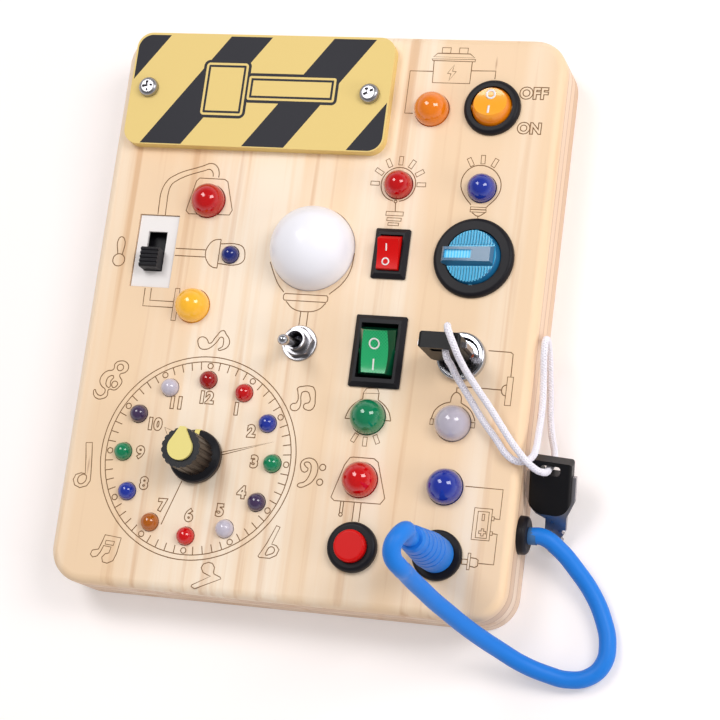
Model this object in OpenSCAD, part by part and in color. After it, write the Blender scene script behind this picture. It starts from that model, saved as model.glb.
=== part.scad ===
// Wooden busy board: a glued-up pine body that carries switches, lamps, a clock dial and a plug.
// Frame: X to the right, Y towards the top edge, Z out of the face; the back lies on Z = 0.

/* [Board] */
// Width of the board
board_w = 136.5; // [134:0.5:144]
// Height of the board
board_h = 170.5; // [168:0.5:178]
// Thickness of each of the four glued layers
layer_t = 5; // [4.8:0.1:5.4]
// Radius of the board's corners
corner_r = 10; // [6:0.5:12]
// Rounding of the front edge
edge_r = 2.5; // [1:0.25:3.5]
// Width of the wooden wall round the hollow inside
wall_w = 8; // [7:0.25:8.5]
// Radius of the hollow's corners
hollow_r = 5; // [3:0.5:8]

/* [Places on the face] */
// Inner control column, right of the centre
inner_col = 23; // [21:0.5:24]
// Outer control column, right of the centre
outer_col = 47.9; // [46.5:0.1:48.5]
// Height of the round amber rocker's row
top_row = 63.5; // [61:0.5:65]
// Height of the small lamps' row
small_row = 39; // [38:0.5:40]
// Height of the row with the red rocker and the big round rocker
rocker_row = 18; // [17:0.5:19]
// Height of the row with the green rocker and the lock
lock_row = -11.2; // [-12:0.2:-10]
// Height of the upper row of big lamps
lamp_row_1 = -30.4; // [-31:0.2:-30]
// Height of the lower row of big lamps
lamp_row_2 = -48.6; // [-50:0.2:-47.5]
// Height of the bottom row
bottom_row = -68; // [-69.5:0.5:-66.5]
// Middle of the amber lamp, right of the centre
amber_lamp_x = 29.8; // [28:0.2:31]
// Middle of the slide switch
slide_x = -50.1; // [-51:0.1:-50]
// Height of the slide switch
slide_y = 15.3; // [14:0.1:17]
// Middle of the two lamps beside the slide switch
side_lamp_x = -35.3; // [-36:0.1:-34]
// Distance of each of those lamps above and below the switch
side_lamp_dy = 16.2; // [15:0.1:17]
// Middle of the small lamp beside the slide switch
small_lamp_x = -26; // [-28:0.1:-25]
// Middle of the white dome and of the toggle switch below it
dome_x = -0.7; // [-2:0.1:0.5]
// Height of the white dome
dome_y = 18.4; // [17:0.1:20]
// Height of the toggle switch
toggle_y = -10.2; // [-11:0.1:-9]
// Middle of the clock
clock_x = -27; // [-28:0.1:-26.5]
// Height of the clock
clock_y = -46; // [-47:0.1:-45]
// Radius of the ring of clock lamps
clock_ring_r = 23.1; // [21:0.1:24]

/* [Sign plate] */
// Width of the sign plate
sign_w = 82; // [76:0.5:84]
// Height of the sign plate
sign_h = 35.6; // [33:0.1:36]
// Thickness of the sign plate
sign_t = 3.5; // [2.5:0.25:4]
// Radius of its corners
sign_r = 4.8; // [2:0.2:6]
// Middle of the plate
sign_x = -23.6; // [-24.5:0.1:-22.5]
// Height of the plate
sign_y = 65.4; // [64:0.1:66]
// Distance between its two screws
sign_screw_gap = 69.9; // [64:0.1:71]
// Diameter of the pan heads
pan_head_d = 6; // [5:0.1:6.5]

/* [Lamps] */
// Diameter of a big lamp
big_lamp_d = 10.2; // [9.8:0.1:10.6]
// Diameter of a middle lamp
mid_lamp_d = 8.4; // [7.8:0.1:8.8]
// Diameter of a small lamp
small_lamp_d = 5.3; // [4.8:0.1:5.6]
// Gap between a lamp and its hole
lamp_gap = 0.2; // [0.15:0.05:0.5]
// Height of a lamp's dome centre over the face
lamp_lift = 0.8; // [0.2:0.1:1.5]
// Diameter of the white dome
dome_d = 25.3; // [24:0.1:26]
// Wall of the white dome
dome_wall = 1.5; // [1:0.1:2]

/* [Rockers] */
// Radius of the amber rocker's flange
amber_flange_r = 8.4; // [8:0.1:9]
// Radius of the amber rocker's window
amber_window_r = 6.2; // [6:0.05:6.6]
// Radius of the big round rocker's flange
round_flange_r = 11.8; // [11.2:0.1:12.4]
// Radius of the big round rocker's window
round_window_r = 8.3; // [8.2:0.05:8.5]
// Width of the red rocker's frame
red_frame_w = 10.4; // [10:0.1:11]
// Length of the red rocker's frame
red_frame_l = 15; // [14.6:0.1:16]
// Width of the green rocker's frame
green_frame_w = 15.2; // [14.8:0.1:16]
// Length of the green rocker's frame
green_frame_l = 21.2; // [20.8:0.1:22]
// Thickness of the rockers' flanges and frames
flange_t = 1.8; // [1.5:0.1:2.2]
// Tilt of a round rocker to each side of level
rocker_tilt = 9; // [7:0.5:10]
// Tilt of a rectangular rocker to each side of level
square_tilt = 14; // [11:0.5:15]

/* [Controls] */
// Outer radius of the push button's bezel
button_bezel_r = 7.2; // [6.8:0.1:7.8]
// Radius of the push button's cap
button_cap_r = 4.65; // [4.2:0.05:4.8]
// Travel of the push button
button_travel = 2.6; // [2:0.1:2.8]
// Outer radius of the lock's chrome flange
lock_flange_r = 7.1; // [6.9:0.1:7.8]
// Radius of the lock's turning core
core_r = 3.9; // [3.8:0.05:4.1]
// Thickness of a key's blank
blank_t = 1.6; // [1.4:0.1:1.8]
// Width of a key's black head
key_head_w = 12; // [11.4:0.1:12.6]
// Height of a key's black head
key_head_h = 16; // [15:0.5:17]
// Thickness of a key's black head
key_head_t = 4.7; // [3.8:0.1:4.8]
// Length of a key's blade
key_blade_l = 12.3; // [11:0.1:12.5]
// Outer radius of the toggle switch's bushing
bushing_r = 3; // [2.9:0.05:3.2]
// Lean of the toggle lever to each side of upright
lever_lean = 10; // [8:0.5:12]
// Radius of the clock knob's skirt
knob_r = 7.8; // [7.2:0.1:8.4]
// Height of the clock knob
knob_h = 14; // [12.5:0.5:15]
// Radius of the knob's shaft
shaft_r = 3; // [2.9:0.05:3.1]
// Outer radius of the plug socket's ring
socket_ring_r = 7.15; // [6.9:0.05:7.8]
// Radius of the plug's pin
plug_pin_r = 3.15; // [3:0.05:3.25]
// Height of the blue plug over the face
plug_h = 30; // [28:1:30]
// Radius of the blue plug at its foot
plug_r = 5.2; // [4.9:0.1:5.6]
// Diameter of the blue cable
cable_d = 4.9; // [4.6:0.1:5]
// Diameter of the white string
string_d = 2.1; // [1.9:0.1:2.2]

/* [Inside] */
// Diameter of a battery cell
cell_d = 10.5; // [10.2:0.1:10.6]
// Length of a battery cell
cell_l = 44.5; // [44:0.1:45]
// Wall of the battery box
box_wall = 1.2; // [1:0.1:1.3]
// Thickness of a circuit board
pcb_t = 1.6; // [1.2:0.1:1.6]
// Diameter of the back panel's screws
back_screw_d = 3; // [2.5:0.1:3.5]

/* [Hidden] */
$fn = 48;
drawn_w = 136.5;                 // board for which the places and routes are written;
drawn_h = 170.5;                 // on another size of board they spread with it
face = 4 * layer_t;              // height of the front face
inner_face = face - layer_t;     // underside of the front panel
run_gap = 0.06;                  // radial play of a turning or sliding fit
fit = 0.2;                       // play of a body in its cut-out
pin_r = 0.9;                     // rocker pivots
pin_l = 0.8;                     // how far a rocker pivot enters the wall
pivot_z = face + 0.3;            // height of the rocker pivots
body_depth = 10.5;               // switch bodies below the face
tab = [2, 0.6, 3];               // switch terminal
frame_wall = 1.1;                // wall of a rocker's body
pcb_z = 7.4;                     // underside of the circuit boards
pcb_top = pcb_z + pcb_t;
lead_r = 0.3;
lead_gap = 0.15;
lead_end = pcb_z - 0.8;
lamp_foot_z = inner_face - 1.2;  // underside of a lamp's rim
lamp_foot_t = 1;
lead_pitch = 2.54;
spacer_r = 2.4;
nut_t = 2;

amber_r = amber_window_r - 0.25;
amber_body_r = amber_window_r + frame_wall;
round_r = round_window_r - 0.25;
round_body_r = round_window_r + frame_wall;
red_window = [red_frame_w - 3.6, red_frame_l - 4.2];
green_window = [green_frame_w - 4.2, green_frame_l - 5];

sign_screw_r = 1.4;
barrel_r = 5.9;                  // threaded barrels of the lock, button and socket
barrel_depth = 13;
jack_r = plug_pin_r + run_gap;
key_bottom = face + 3.6;         // underside of a key's head over the lock
blade_w = 4.6;
collar_w = 6;                    // wider part of the blank above the blade
slot_gap = 0.15;                 // play of the key's blank in its slot
bow_w = key_head_w + 2.2;
string_slot = [5.6, 2.8];        // opening for the string
string_slot_z = 2.6;             // its middle below the head's top end
bow_h = key_head_h - string_slot_z - string_slot[1] / 2 - 0.3;
head_shift = -2;                 // the head stands off the middle of the blade

slide_cut = [12.7, 22.5];
slide_plate_z = face - 1.6;
slide_plate_t = 1;
slide_slot = [6, 12.3];
slider = [5.6, 6.1, 4.8];
slide_travel = slide_slot[1] - slider[1] - 0.4;

grommet_y = -58.7 * board_h / drawn_h;
grommet_z = 2 * layer_t;
grommet_neck_r = 3.4;
grommet_flange_r = 5.5;
grommet_t = 2.6;

cell_pitch = cell_d + 1.2;
box_in = [cell_l + 5, 3 * cell_pitch - 0.6];
box_post = 7;                    // end of the box that takes the door's screw
box_out = [box_in[0] + 2 * box_wall + box_post, box_in[1] + 2 * box_wall];
box_gap = 0.25;
box_ear = 5;                     // ears that rest on the back panel
box_x = wall_w + box_ear + 3.8 + (box_out[0] - board_w) / 2;
box_y = board_h / 2 - wall_w - box_out[1] / 2 - box_gap;
door_t = 1.8;
door_lip = 2.5;
box_top = lamp_foot_z - 0.1;
box_bottom = door_t + 0.2;
door_screw_x = box_out[0] / 2 - box_post / 2;

// A point written for the drawn board, on this board
function on_board(p) = [p[0] * board_w / drawn_w, p[1] * board_h / drawn_h, p[2]];
function place(x, y) = [x * board_w / drawn_w, y * board_h / drawn_h];

// Middle of each lamp and control
amber_lamp_at = place(amber_lamp_x, top_row - 1);
red_small_at = place(inner_col - 0.3, small_row);
blue_small_at = place(outer_col - 0.2, small_row);
lamp_red_side = place(side_lamp_x, slide_y + side_lamp_dy);
lamp_yellow_side = place(side_lamp_x, slide_y - side_lamp_dy);
lamp_blue_side = place(small_lamp_x, slide_y);
lamp_green_at = place(inner_col - 0.3, lamp_row_1);
lamp_clear_at = place(outer_col - 0.2, lamp_row_1);
lamp_red_at = place(inner_col - 0.2, lamp_row_2);
lamp_blue_at = place(outer_col - 0.2, lamp_row_2);
clock_at = place(clock_x, clock_y);
dome_at = place(dome_x, dome_y);
toggle_at = place(dome_x, toggle_y);
slide_at = place(slide_x, slide_y);
amber_at = place(outer_col, top_row);
round_at = place(outer_col, rocker_row);
red_at = place(inner_col + 0.2, rocker_row);
green_at = place(inner_col + 0.2, lock_row);
lock_at = place(outer_col, lock_row);
button_at = place(inner_col + 0.3, bottom_row);
socket_at = place(outer_col, bottom_row);
sign_at = place(sign_x, sign_y);

// Route of the blue cable, from the plug's tail to the grommet in the side
cable_steps = [
    [49, -67.5, 59.8], [48.2, -69.5, 63], [47.1, -72.4, 63.8], [47.2, -75.3, 62.7],
    [48.7, -77.4, 59.4], [48.4, -77.6, 53.9], [49.3, -79, 47.8], [51, -80.7, 41.9],
    [52.8, -82.5, 36], [55.3, -84.4, 30.3], [58.4, -86.7, 24.2], [62.3, -89.1, 18.1],
    [66.7, -91.4, 12.2], [72.4, -94.1, 7.9], [79, -96, 5], [85, -96.8, 3.2],
    [90.6, -95.4, 2.6], [94.2, -91.4, 2.6], [94.8, -85.6, 2.6], [93, -79.4, 2.6],
    [89.4, -72.6, 3.4], [84.6, -66.6, 5.6], [79.6, -61.6, 8.2]
];
cable_end = [board_w / 2 + grommet_t, grommet_y, grommet_z];
cable_route = concat(
    [for (rise = [0, 5]) [socket_at[0], socket_at[1], face + plug_h + rise]],
    [for (p = cable_steps) on_board(p)],
    [cable_end + [4, 0, 0], cable_end]
);

// Route of the white string: out of the upright key and over its head, from the slot's middle,
string_hump = [
    [0.1, 3.4, 1], [0.5, 4, 3.1], [1, 3.2, 4.7], [1.9, 1.3, 5.4], [2.8, -0.6, 4.8],
    [3.5, -2.1, 4.1], [4.1, -3.7, 2.4]
];
// then over to the loose key, through its slot, and back
string_steps = [
    [52.2, -16.4, 36.7], [53.2, -18.2, 34], [54.7, -20.4, 31.2], [56.8, -23.2, 29],
    [59.1, -26.1, 26.6], [61.7, -29.6, 24.9], [64.9, -33.8, 24], [68.1, -37.5, 24.1],
    [70.9, -40.3, 23.6], [73, -41.8, 21.6], [74.4, -42.1, 19.6], [75.3, -41.7, 17.5],
    [75.5, -40, 14.7], [75.6, -38.5, 12.3], [75.4, -36, 9], [74.4, -32.8, 6.2],
    [72.9, -28.6, 4.2], [71.6, -23, 3], [70.9, -16.6, 3], [70.5, -11, 4.9],
    [70.3, -6, 7.6], [70.2, -2.9, 11.5], [70.4, -3.8, 15.7], [70.8, -8, 17.5],
    [71, -15, 15.2], [71.3, -23.6, 13.9], [71.5, -31.4, 15.9], [71.8, -35.1, 18.1],
    [71.4, -38.1, 19.9], [69.8, -39.7, 21], [67.5, -40, 21.8], [65, -38.8, 22.2],
    [61.1, -34.4, 21.7], [56.3, -28.7, 23.4], [53.8, -25, 25.5], [51.6, -21.8, 28.2],
    [49.8, -19.1, 30.9], [48.9, -17, 33.9]
];
slot_at = [lock_at[0] + head_shift + 1.6, lock_at[1], key_bottom + key_head_h - string_slot_z];
string_route = concat(
    [slot_at, slot_at + [0, 2.4, 0.1]],
    [for (p = string_hump) slot_at + p],
    [for (p = string_steps) on_board(p)],
    [slot_at + [0.4, -4.1, -0.8], slot_at - [0, 2.4, 0], slot_at]
);
string_out_n = 11;               // point where the string leaves the turning key's reach
string_back_n = 44;              // and point where it comes back into it
loose_key_at = on_board([77.5, -51.3, 7.6]);
loose_key_turn = [-58, 0, -4];

// ---------- shared shapes ----------

// Rounded rectangle made of squares and circles
module rounded(w, h, r) {
    square([w - 2 * r, h], center = true);
    square([w, h - 2 * r], center = true);
    for (x = [-1, 1], y = [-1, 1])
        translate([x * (w / 2 - r), y * (h / 2 - r)]) circle(r);
}

// Half section of a disc with a rounded top edge
module disc_profile(r, t, round_over) {
    square([r, t - round_over]);
    square([r - round_over, t]);
    translate([r - round_over, t - round_over]) circle(round_over);
}

// Ring standing on z = 0, with a rounded top edge
module ring(r, t, bore, round_over) {
    difference() {
        rotate_extrude() intersection() {
            disc_profile(r, t, round_over);
            square([r, t]);
        }
        translate([0, 0, -1]) cylinder(r = bore, h = t + 2);
    }
}

// Hexagon nut or head by its width across flats, with its bore
module hex(flats, t, bore) {
    difference() {
        cylinder(d = flats / cos(30), h = t, $fn = 6);
        translate([0, 0, -1]) cylinder(r = bore, h = t + 2);
    }
}

// Countersunk wood screw, head down at z = 0, with a cross recess
module wood_screw(d, len) {
    difference() {
        rotate_extrude()
            polygon([[0, 0], [d, 0], [d / 2, d / 2], [d / 2, len - d / 2], [0, len]]);
        for (a = [0, 90]) rotate([0, 0, a])
            translate([-d * 0.6, -d * 0.1, -1]) cube([d * 1.2, d * 0.2, 1 + d * 0.25]);
    }
}

// Smooth tube along a route, as one closed mesh
function unit(v) = v / norm(v);
function heading(p, i) = unit(p[min(i + 1, len(p) - 1)] - p[max(i - 1, 0)]);
function first_side(t) = unit(cross(t, [0.3, 1, 0.2]));
function side(p, i) = i == 0 ? first_side(heading(p, 0)) :
    let (s = side(p, i - 1), t = heading(p, i)) unit(s - (s * t) * t);
function tube_ring(p, i, r, n) = let (s = side(p, i), u = cross(heading(p, i), s))
    [for (k = [0 : n - 1]) p[i] + r * (cos(360 * k / n) * s + sin(360 * k / n) * u)];

module tube(p, first, last, r, n) {
    rings = last - first;
    points = [for (i = [first : last]) each tube_ring(p, i, r, n)];
    walls = [for (i = [0 : rings - 1], k = [0 : n - 1]) let (m = (k + 1) % n)
        each [[i * n + k, (i + 1) * n + k, (i + 1) * n + m], [i * n + k, (i + 1) * n + m, i * n + m]]];
    caps = [[for (k = [0 : n - 1]) k], [for (k = [n - 1 : -1 : 0]) rings * n + k]];
    polyhedron(points = points, faces = concat(walls, caps));
}

// ---------- board ----------

module quarter_corner() {
    rotate_extrude(angle = 90) disc_profile_cut();
}

module disc_profile_cut() {
    intersection() {
        disc_profile(corner_r, layer_t, edge_r);
        square([corner_r, layer_t]);
    }
}

// Bar along +X whose outer long edge is rounded, as long as l
module edge_bar(l) {
    rotate([90, 0, 90]) linear_extrude(l) disc_profile_cut();
}

module front_blank() {
    hw = board_w / 2 - corner_r;
    hh = board_h / 2 - corner_r;
    translate([-hw, -hh, 0]) cube([2 * hw, 2 * hh, layer_t]);
    translate([hw, hh, 0]) quarter_corner();
    translate([-hw, hh, 0]) rotate([0, 0, 90]) quarter_corner();
    translate([-hw, -hh, 0]) rotate([0, 0, 180]) quarter_corner();
    translate([hw, -hh, 0]) rotate([0, 0, 270]) quarter_corner();
    translate([-hw, hh, 0]) edge_bar(2 * hw);
    translate([hw, -hh, 0]) rotate([0, 0, 180]) edge_bar(2 * hw);
    translate([-hw, -hh, 0]) rotate([0, 0, 90]) edge_bar(2 * hh);
    translate([hw, hh, 0]) rotate([0, 0, -90]) edge_bar(2 * hh);
}

module hole(at, r) {
    translate([at[0], at[1], inner_face - 1]) cylinder(r = r, h = layer_t + 2);
}

module cutout(at, size) {
    translate([at[0] - size[0] / 2, at[1] - size[1] / 2, inner_face - 1])
        cube([size[0], size[1], layer_t + 2]);
}

module front_panel() {
    color("burlywood") difference() {
        translate([0, 0, inner_face]) front_blank();
        hole(amber_at, amber_body_r + fit);
        hole(round_at, round_body_r + fit);
        cutout(red_at, rocker_body(red_window) + [2 * fit, 2 * fit]);
        cutout(green_at, rocker_body(green_window) + [2 * fit, 2 * fit]);
        cutout(slide_at, slide_cut);
        hole(toggle_at, bushing_r + fit);
        hole(lock_at, barrel_r + fit);
        hole(button_at, barrel_r + fit);
        hole(socket_at, barrel_r + fit);
        hole(clock_at, shaft_r + 0.7 + fit);
        hole(dome_at, dome_d / 2 + lamp_gap);
        for (at = [amber_lamp_at, lamp_red_side, lamp_yellow_side, lamp_green_at,
                   lamp_clear_at, lamp_red_at, lamp_blue_at])
            hole(at, big_lamp_d / 2 + lamp_gap);
        for (at = [red_small_at, blue_small_at]) hole(at, mid_lamp_d / 2 + lamp_gap);
        hole(lamp_blue_side, small_lamp_d / 2 + lamp_gap);
        for (hour = [0 : 11]) hole(clock_place(hour), small_lamp_d / 2 + 0.15);
        for (x = [-1, 1])
            translate([sign_at[0] + x * sign_screw_gap / 2, sign_at[1], face - sign_screw_len()])
                cylinder(r = sign_screw_r + 0.02, h = sign_screw_len() + 1);
    }
}

function clock_place(hour) =
    clock_at + clock_ring_r * [sin(30 * hour), cos(30 * hour)];
function sign_screw_len() = layer_t - 0.8;
function rocker_body(window) = window + [2 * frame_wall, 2 * frame_wall];

module frame_layer(z) {
    translate([0, 0, z]) difference() {
        linear_extrude(layer_t) rounded(board_w, board_h, corner_r);
        translate([0, 0, -1]) linear_extrude(layer_t + 2)
            rounded(board_w - 2 * wall_w, board_h - 2 * wall_w, hollow_r);
        for (at = back_screw_places()) translate([at[0], at[1], -1])
            cylinder(d = back_screw_d, h = layer_t + 2);
        translate([0, grommet_y, grommet_z - z]) rotate([0, 90, 0])
            cylinder(r = grommet_neck_r, h = board_w);
    }
}

// A corner screw stands midway between the wall's outer and inner arcs
function back_screw_places() =
    let (inset = (wall_w + (corner_r + hollow_r) * (1 - sqrt(0.5))) / 2,
         side = board_w / 2 - wall_w / 2 - 0.6, x = board_w / 2 - inset, y = board_h / 2 - inset)
    [[-x, -y], [x, -y], [-side, 0], [side, 0], [-x, y], [x, y]];

module upper_frame() color("wheat") frame_layer(2 * layer_t);
module lower_frame() color("tan") frame_layer(layer_t);

module back_panel() {
    color("burlywood") difference() {
        linear_extrude(layer_t) rounded(board_w, board_h, corner_r);
        translate([box_x, box_y, -1]) linear_extrude(layer_t + 2)
            square(box_out + [2 * box_gap, 2 * box_gap], center = true);
        translate([box_x, box_y, -1]) linear_extrude(1 + door_t + 0.1)
            rounded(box_out[0] + 2 * door_lip, box_out[1] + 2 * door_lip, 3);
        for (at = back_screw_places()) translate([at[0], at[1], 0]) {
            translate([0, 0, -1]) cylinder(d = back_screw_d, h = layer_t + 2);
            translate([0, 0, -0.1]) cylinder(r1 = back_screw_d + 0.5, r2 = back_screw_d / 2 - 0.1,
                                             h = back_screw_d / 2 + 0.7);
        }
    }
}

module back_screws() {
    color("silver") for (at = back_screw_places())
        translate([at[0], at[1], 0.4]) wood_screw(back_screw_d - 0.06, 13);
}

// ---------- sign plate ----------

module sign_plate() {
    color("khaki") translate([sign_at[0], sign_at[1], face]) difference() {
        linear_extrude(sign_t) rounded(sign_w, sign_h, sign_r);
        for (x = [-1, 1]) translate([x * sign_screw_gap / 2, 0, -1])
            cylinder(r = sign_screw_r + 0.1, h = sign_t + 2);
    }
}

module sign_screws() {
    head_h = pan_head_d * 0.34;
    color("silver") for (x = [-1, 1])
        translate([sign_at[0] + x * sign_screw_gap / 2, sign_at[1], face + sign_t]) {
            difference() {
                ring(pan_head_d / 2, head_h, 0.01, head_h * 0.6);
                for (a = [20, 110]) rotate([0, 0, a + 12 * x])
                    translate([-pan_head_d * 0.27, -0.45, head_h - 0.9]) cube([pan_head_d * 0.54, 0.9, 2]);
            }
            translate([0, 0, -sign_t - sign_screw_len()])
                cylinder(r = sign_screw_r, h = sign_t + sign_screw_len());
        }
}

// ---------- rocker switches ----------

module pivot_pins(half, r) {
    for (s = [-1, 1]) rotate([0, s * 90, 0])
        translate([0, 0, half - 0.6]) cylinder(r = r, h = pin_l + 0.6);
}

// Round switch body: flange, threadless barrel, pocket and the holes of its pivot
module round_housing(flange_r, window_r, body_r) {
    difference() {
        union() {
            translate([0, 0, face]) ring(flange_r, flange_t, window_r, flange_t * 0.7);
            translate([0, 0, face - body_depth]) cylinder(r = body_r, h = body_depth);
        }
        translate([0, 0, pivot_z - window_r]) cylinder(r = window_r, h = 2 * window_r + 2);
        translate([0, 0, pivot_z]) rotate([0, 90, 0])
            cylinder(r = pin_r + run_gap, h = 2 * (window_r + pin_l + 0.1), center = true);
    }
}

module amber_switch_housing() {
    color("#222") translate([amber_at[0], amber_at[1], 0])
        round_housing(amber_flange_r, amber_window_r, amber_body_r);
}

// Ball of a round rocker, on two pivots along X
module rocker_ball(r) {
    sphere(r);
    pivot_pins(r, pin_r);
}

// Amber rocker, whose top is hollow so that a finger finds the pressed side
module amber_rocker() {
    low = 3.4;
    dish_r = 18;
    color("orange") translate([amber_at[0], amber_at[1], pivot_z])
        rotate([-rocker_tilt, 0, 0]) difference() {
            rocker_ball(amber_r);
            translate([0, 0, low + dish_r]) rotate([0, 90, 0])
                cylinder(r = dish_r, h = 4 * amber_r, center = true, $fn = 180);
        }
}

module round_switch_housing() {
    color("#222") translate([round_at[0], round_at[1], 0]) rotate([0, 0, 90])
        round_housing(round_flange_r, round_window_r, round_body_r);
}

// Big round rocker: a deck with fine ribs and a raised bar that holds the light window
module round_rocker() {
    deck = 2.4;
    bar_l = round_r + 0.25;
    bar_h = deck + 2.5;
    color("deepskyblue") translate([round_at[0], round_at[1], pivot_z]) rotate([0, -rocker_tilt, 0]) {
        difference() {
            rotate([0, 0, 90]) rocker_ball(round_r);
            translate([-2 * round_r, -2 * round_r, deck]) cube(4 * round_r);
        }
        difference() {
            intersection() {
                rotate([90, 0, 0]) linear_extrude(8, center = true)
                    polygon([[1.2 - bar_l, deck - 0.5], [1.2 - bar_l, deck + 0.3], [-bar_l, deck + 1.3],
                             [-bar_l, bar_h - 0.7], [0.7 - bar_l, bar_h], [bar_l - 1.6, bar_h - 0.3],
                             [bar_l - 0.9, deck + 1.1], [bar_l - 1.2, deck + 0.5], [bar_l - 1.2, deck - 0.5]]);
                rotate([90, 0, 90]) linear_extrude(4 * bar_l, center = true)
                    polygon([[-3.2, deck - 0.6], [3.2, deck - 0.6], [2, bar_h + 0.1], [-2, bar_h + 0.1]]);
            }
            translate([0.9 - bar_l, -1.25, bar_h - 0.7]) cube([8.4, 2.5, 1]);
        }
        intersection() {
            sphere(round_r);
            for (s = [-1, 1], i = [-7 : 7])
                translate([i * 0.9 - 0.22, s * 5.6 - 2.2, deck - 0.4]) cube([0.44, 4.4, 0.8]);
        }
    }
}

// Outline between two planes that slope in from an edge of height low to the top
module sloped_profile(w, low, t, slope) {
    k = slope / (t - low);
    polygon([[-w / 2 - k * low, 0], [w / 2 + k * low, 0], [w / 2 - slope - k, t + 1], [-w / 2 + slope + k, t + 1]]);
}

// Frame that slopes up from its outer edge to the window
module frame_plate(size, t) {
    low = 0.7;
    slope = 1.3;
    intersection() {
        linear_extrude(t) rounded(size[0], size[1], 0.5);
        rotate([90, 0, 0]) linear_extrude(size[1] + 2, center = true) sloped_profile(size[0], low, t, slope);
        rotate([90, 0, 90]) linear_extrude(size[0] + 2, center = true) sloped_profile(size[1], low, t, slope);
    }
}

// Rectangular switch body: sloped frame, body, pocket and pivot holes
module rocker_housing(frame_size, window) {
    body = rocker_body(window);
    difference() {
        union() {
            translate([0, 0, face]) frame_plate(frame_size, flange_t);
            translate([-body[0] / 2, -body[1] / 2, face - body_depth]) cube([body[0], body[1], body_depth]);
        }
        translate([-window[0] / 2, -window[1] / 2, pivot_z - window[1] / 2])
            cube([window[0], window[1], window[1] + 2]);
        translate([0, 0, pivot_z]) rotate([0, 90, 0])
            cylinder(r = pin_r + run_gap, h = window[0] + 2 * pin_l + 0.2, center = true);
    }
}

// Rectangular rocker: round foot about the pivot, sides and ends that lean in, hollow top
module rocker(window, top, top_w, top_l, foot_top) {
    r = window[1] / 2 - 0.25;
    half = window[0] / 2 - 0.25;
    foot_l = sqrt(r * r - foot_top * foot_top);
    waist = pin_r + 0.3;
    lean = (half - top_w / 2) / (top - waist);
    dish_r = top_l / 2 / sin(15);
    intersection() {
        rotate([90, 0, 90]) linear_extrude(window[0], center = true) difference() {
            union() {
                intersection() {
                    circle(r);
                    translate([-r, -r]) square([2 * r, r + foot_top]);
                }
                polygon([[-foot_l, foot_top], [foot_l, foot_top], [top_l / 2 + 0.1, top - 0.5],
                         [top_l / 2 - 0.2, top], [0.2 - top_l / 2, top], [-top_l / 2 - 0.1, top - 0.5]]);
            }
            translate([0, top + dish_r * cos(15)]) circle(dish_r, $fn = 180);
        }
        rotate([90, 0, 0]) linear_extrude(4 * r, center = true)
            polygon([[-half, -r - 1], [half, -r - 1], [half, waist], [top_w / 2 - lean, top + 1],
                     [lean - top_w / 2, top + 1], [-half, waist]]);
    }
    for (s = [-1, 1]) rotate([0, s * 90, 0])
        translate([0, 0, half - 0.6]) cylinder(r = pin_r, h = pin_l + 0.6);
}

module red_switch_housing() {
    color("#222") translate([red_at[0], red_at[1], 0])
        rocker_housing([red_frame_w, red_frame_l], red_window);
}

module red_rocker() {
    color("red") translate([red_at[0], red_at[1], pivot_z]) rotate([square_tilt, 0, 0])
        rocker(red_window, 4.1, red_window[0] - 0.5, red_window[1] - 1.9, 1.2);
}

module green_switch_housing() {
    color("#222") translate([green_at[0], green_at[1], 0])
        rocker_housing([green_frame_w, green_frame_l], green_window);
}

module green_rocker() {
    color("green") translate([green_at[0], green_at[1], pivot_z]) rotate([square_tilt, 0, 0])
        rocker(green_window, 4.2, green_window[0] - 4, green_window[1] - 3.9, -3.5);
}

// ---------- slide switch ----------

module slide_switch_body() {
    well = [slide_slot[0] + 1.6, slide_slot[1] + 3];
    lip = [slide_cut[0] + 3, slide_cut[1] + 6];
    color("#333") translate([slide_at[0], slide_at[1], 0]) difference() {
        union() {
            translate([-lip[0] / 2, -lip[1] / 2, inner_face - 1.5]) cube([lip[0], lip[1], 1.5]);
            translate([-slide_cut[0] / 2 + fit, -slide_cut[1] / 2 + fit, face - body_depth])
                cube([slide_cut[0] - 2 * fit, slide_cut[1] - 2 * fit, slide_plate_z - face + body_depth]);
        }
        translate([-well[0] / 2, -well[1] / 2, slide_plate_z - 3])
            cube([well[0], well[1], 4]);
    }
}

module slide_plate() {
    color("white") translate([slide_at[0], slide_at[1], slide_plate_z]) difference() {
        linear_extrude(slide_plate_t) square(slide_cut - [2 * fit, 2 * fit], center = true);
        translate([0, 0, -1]) linear_extrude(slide_plate_t + 2) square(slide_slot, center = true);
    }
}

// Slider: knob with cross ribs, stem through the slot, and a foot below the plate
module slider() {
    y = slide_at[1] - slide_slot[1] / 2 + slider[1] / 2 + 0.2;
    top = slide_plate_z + slide_plate_t + slider[2];
    color("#222") translate([slide_at[0], y, 0]) {
        translate([-slider[0] / 2, -slider[1] / 2, slide_plate_z - 0.8])
            cube([slider[0], slider[1], top - slide_plate_z + 0.3]);
        translate([-slider[0] / 2 - 0.5, -slider[1] / 2 - 0.5, slide_plate_z - 1.8])
            cube([slider[0] + 1, slider[1] + 1, 1.2]);
        for (i = [-2 : 2]) translate([0, i * 1.2, top - 0.5]) rotate([0, 90, 0])
            cylinder(r = 0.45, h = slider[0], center = true, $fn = 24);
    }
}

// ---------- toggle switch ----------

lever_pivot_z = face - 0.2;
lever_h = 17;                    // lever above its pivot
bushing_top = face + 5.2;
washer_t = 0.7;
lever_pin_r = 0.6;

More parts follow.
